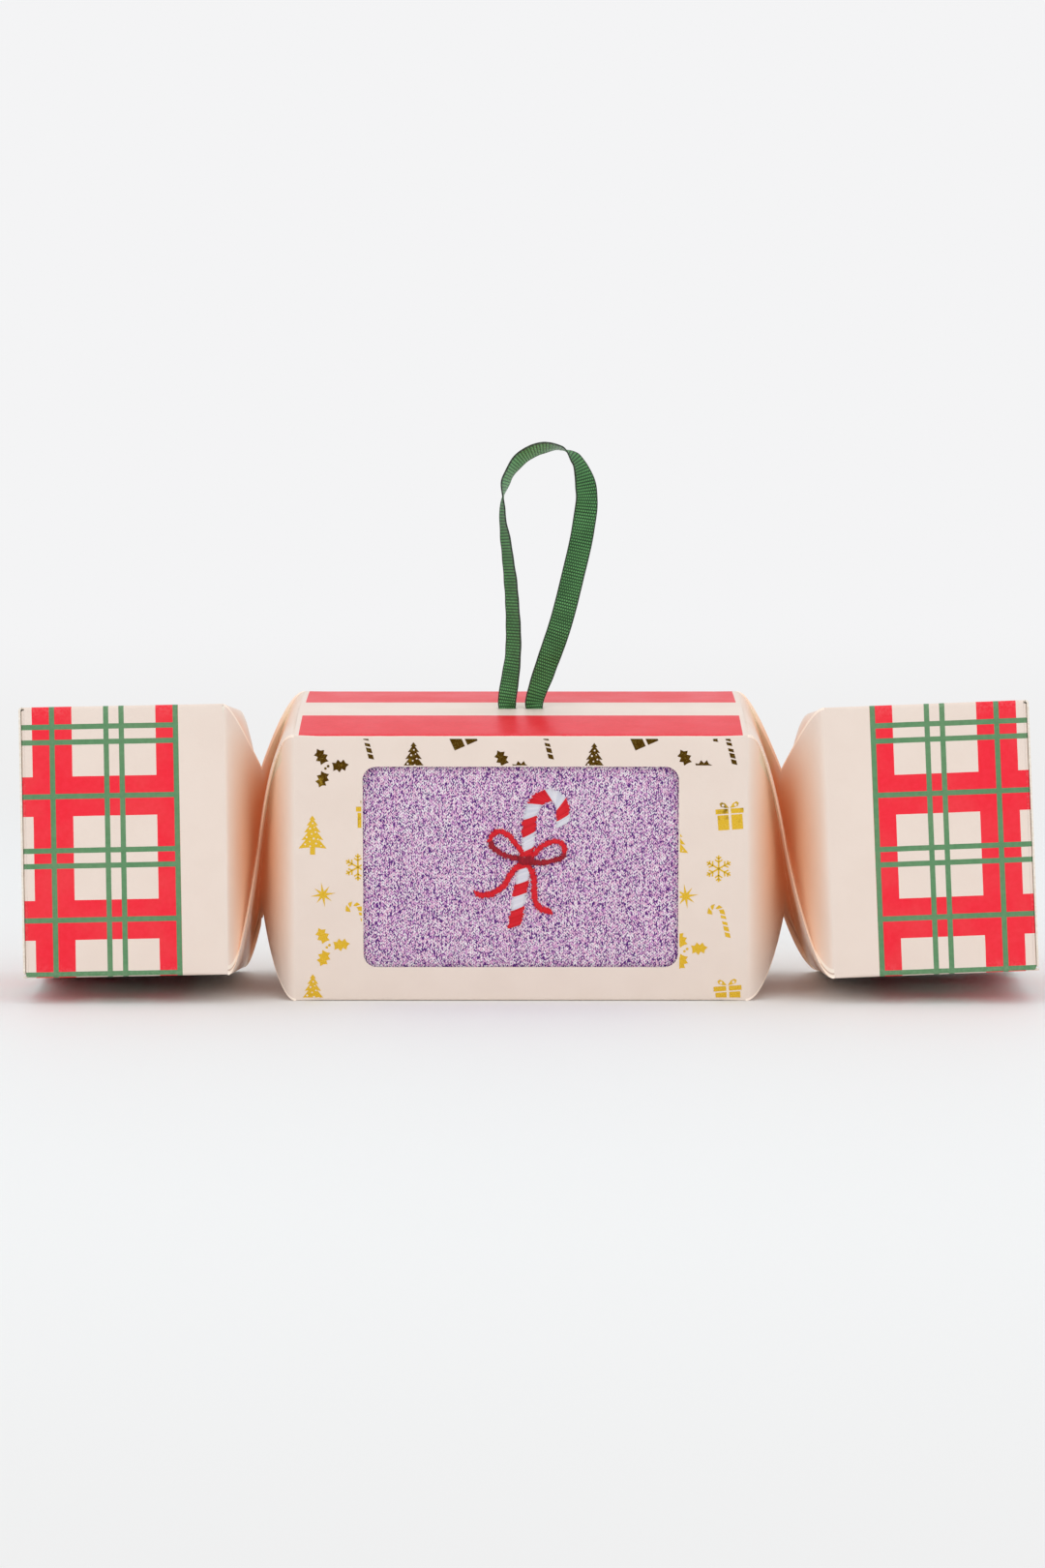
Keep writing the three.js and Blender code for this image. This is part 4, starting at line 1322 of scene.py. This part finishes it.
scene = bpy.context.scene
scene.view_settings.view_transform = "Standard"
camera = bpy.data.objects.new("camera", bpy.data.cameras.new("camera"))
scene.collection.objects.link(camera)
camera.data.lens = 115.8
camera.location = (-0.0017, -1.3223, 0.1675)
camera.rotation_euler = (radians(90 - 4.93), 0, 0)
camera.data.clip_start, camera.data.clip_end = 0.05, 20
scene.camera = camera


def studio():
    """A pale world, a shade paler where the camera and reflections see it."""
    scene.world = bpy.data.worlds.new("studio")
    n = Nodes(scene.world)
    back = n.tree.nodes["Background"]
    n.put(back.inputs[0], srgb(241, 241, 242))
    n.put(back.inputs[1], 1.0)
    seen = n.node("Background", srgb(244, 244, 245), 1)
    path = n.node("LightPath")
    either = n.math("MAXIMUM", n.out(path, "Is Camera Ray"), n.out(path, "Is Glossy Ray"))
    choose = n.node("MixShader", either, n.out(back), n.out(seen))
    n.put(n.tree.nodes["World Output"].inputs[0], n.out(choose))


def area_light(name, where, size, power):
    """A lamp in metres and watts, turned to the middle of the cracker."""
    data = bpy.data.lights.new(name, "AREA")
    data.shape, data.size, data.size_y, data.energy = "RECTANGLE", size[0], size[1], power
    obj = bpy.data.objects.new(name, data)
    scene.collection.objects.link(obj)
    obj.location = where
    way = Vector((0, 0, 0.04)) - Vector(where)
    obj.rotation_euler = way.to_track_quat("-Z", "Y").to_euler()


studio()
area_light("overhead", (0, -0.1, 1.1), (1.4, 0.9), 1.7)
area_light("front_left", (-0.9, -1.3, 0.75), (0.9, 0.9), 1.6)
area_light("front_right", (0.9, -1.3, 0.75), (0.9, 0.9), 1.6)


def floor_material():
    """Takes shadows near the cracker and fades to an even pale tone further off, in metres."""
    n = Nodes("floor")
    x, y, _ = n.split(n.place())
    away = n.math("SQRT", x ** 2.0 + y ** 2.0)
    n.shader(srgb(240, 242, 242), 0.7)
    glow = n.node("Emission")
    tone = n.mix(n.ramp(away, 0.5, 1.8), srgb(239, 239, 239), srgb(244, 244, 245))
    n.put(glow.inputs[0], tone)
    fade = n.ramp(away, 0.3, 0.75)
    join = n.node("MixShader", fade, n.out(n.bsdf), n.out(glow))
    n.put(n.tree.nodes["Material Output"].inputs[0], n.out(join))
    return n.owner


b = Build()
b.face([b.add((4000 * x, 4000 * y, 0)) for x, y in ((-1, -1), (1, -1), (1, 1), (-1, 1))])
floor = b.make("floor", [floor_material()], None, 0)
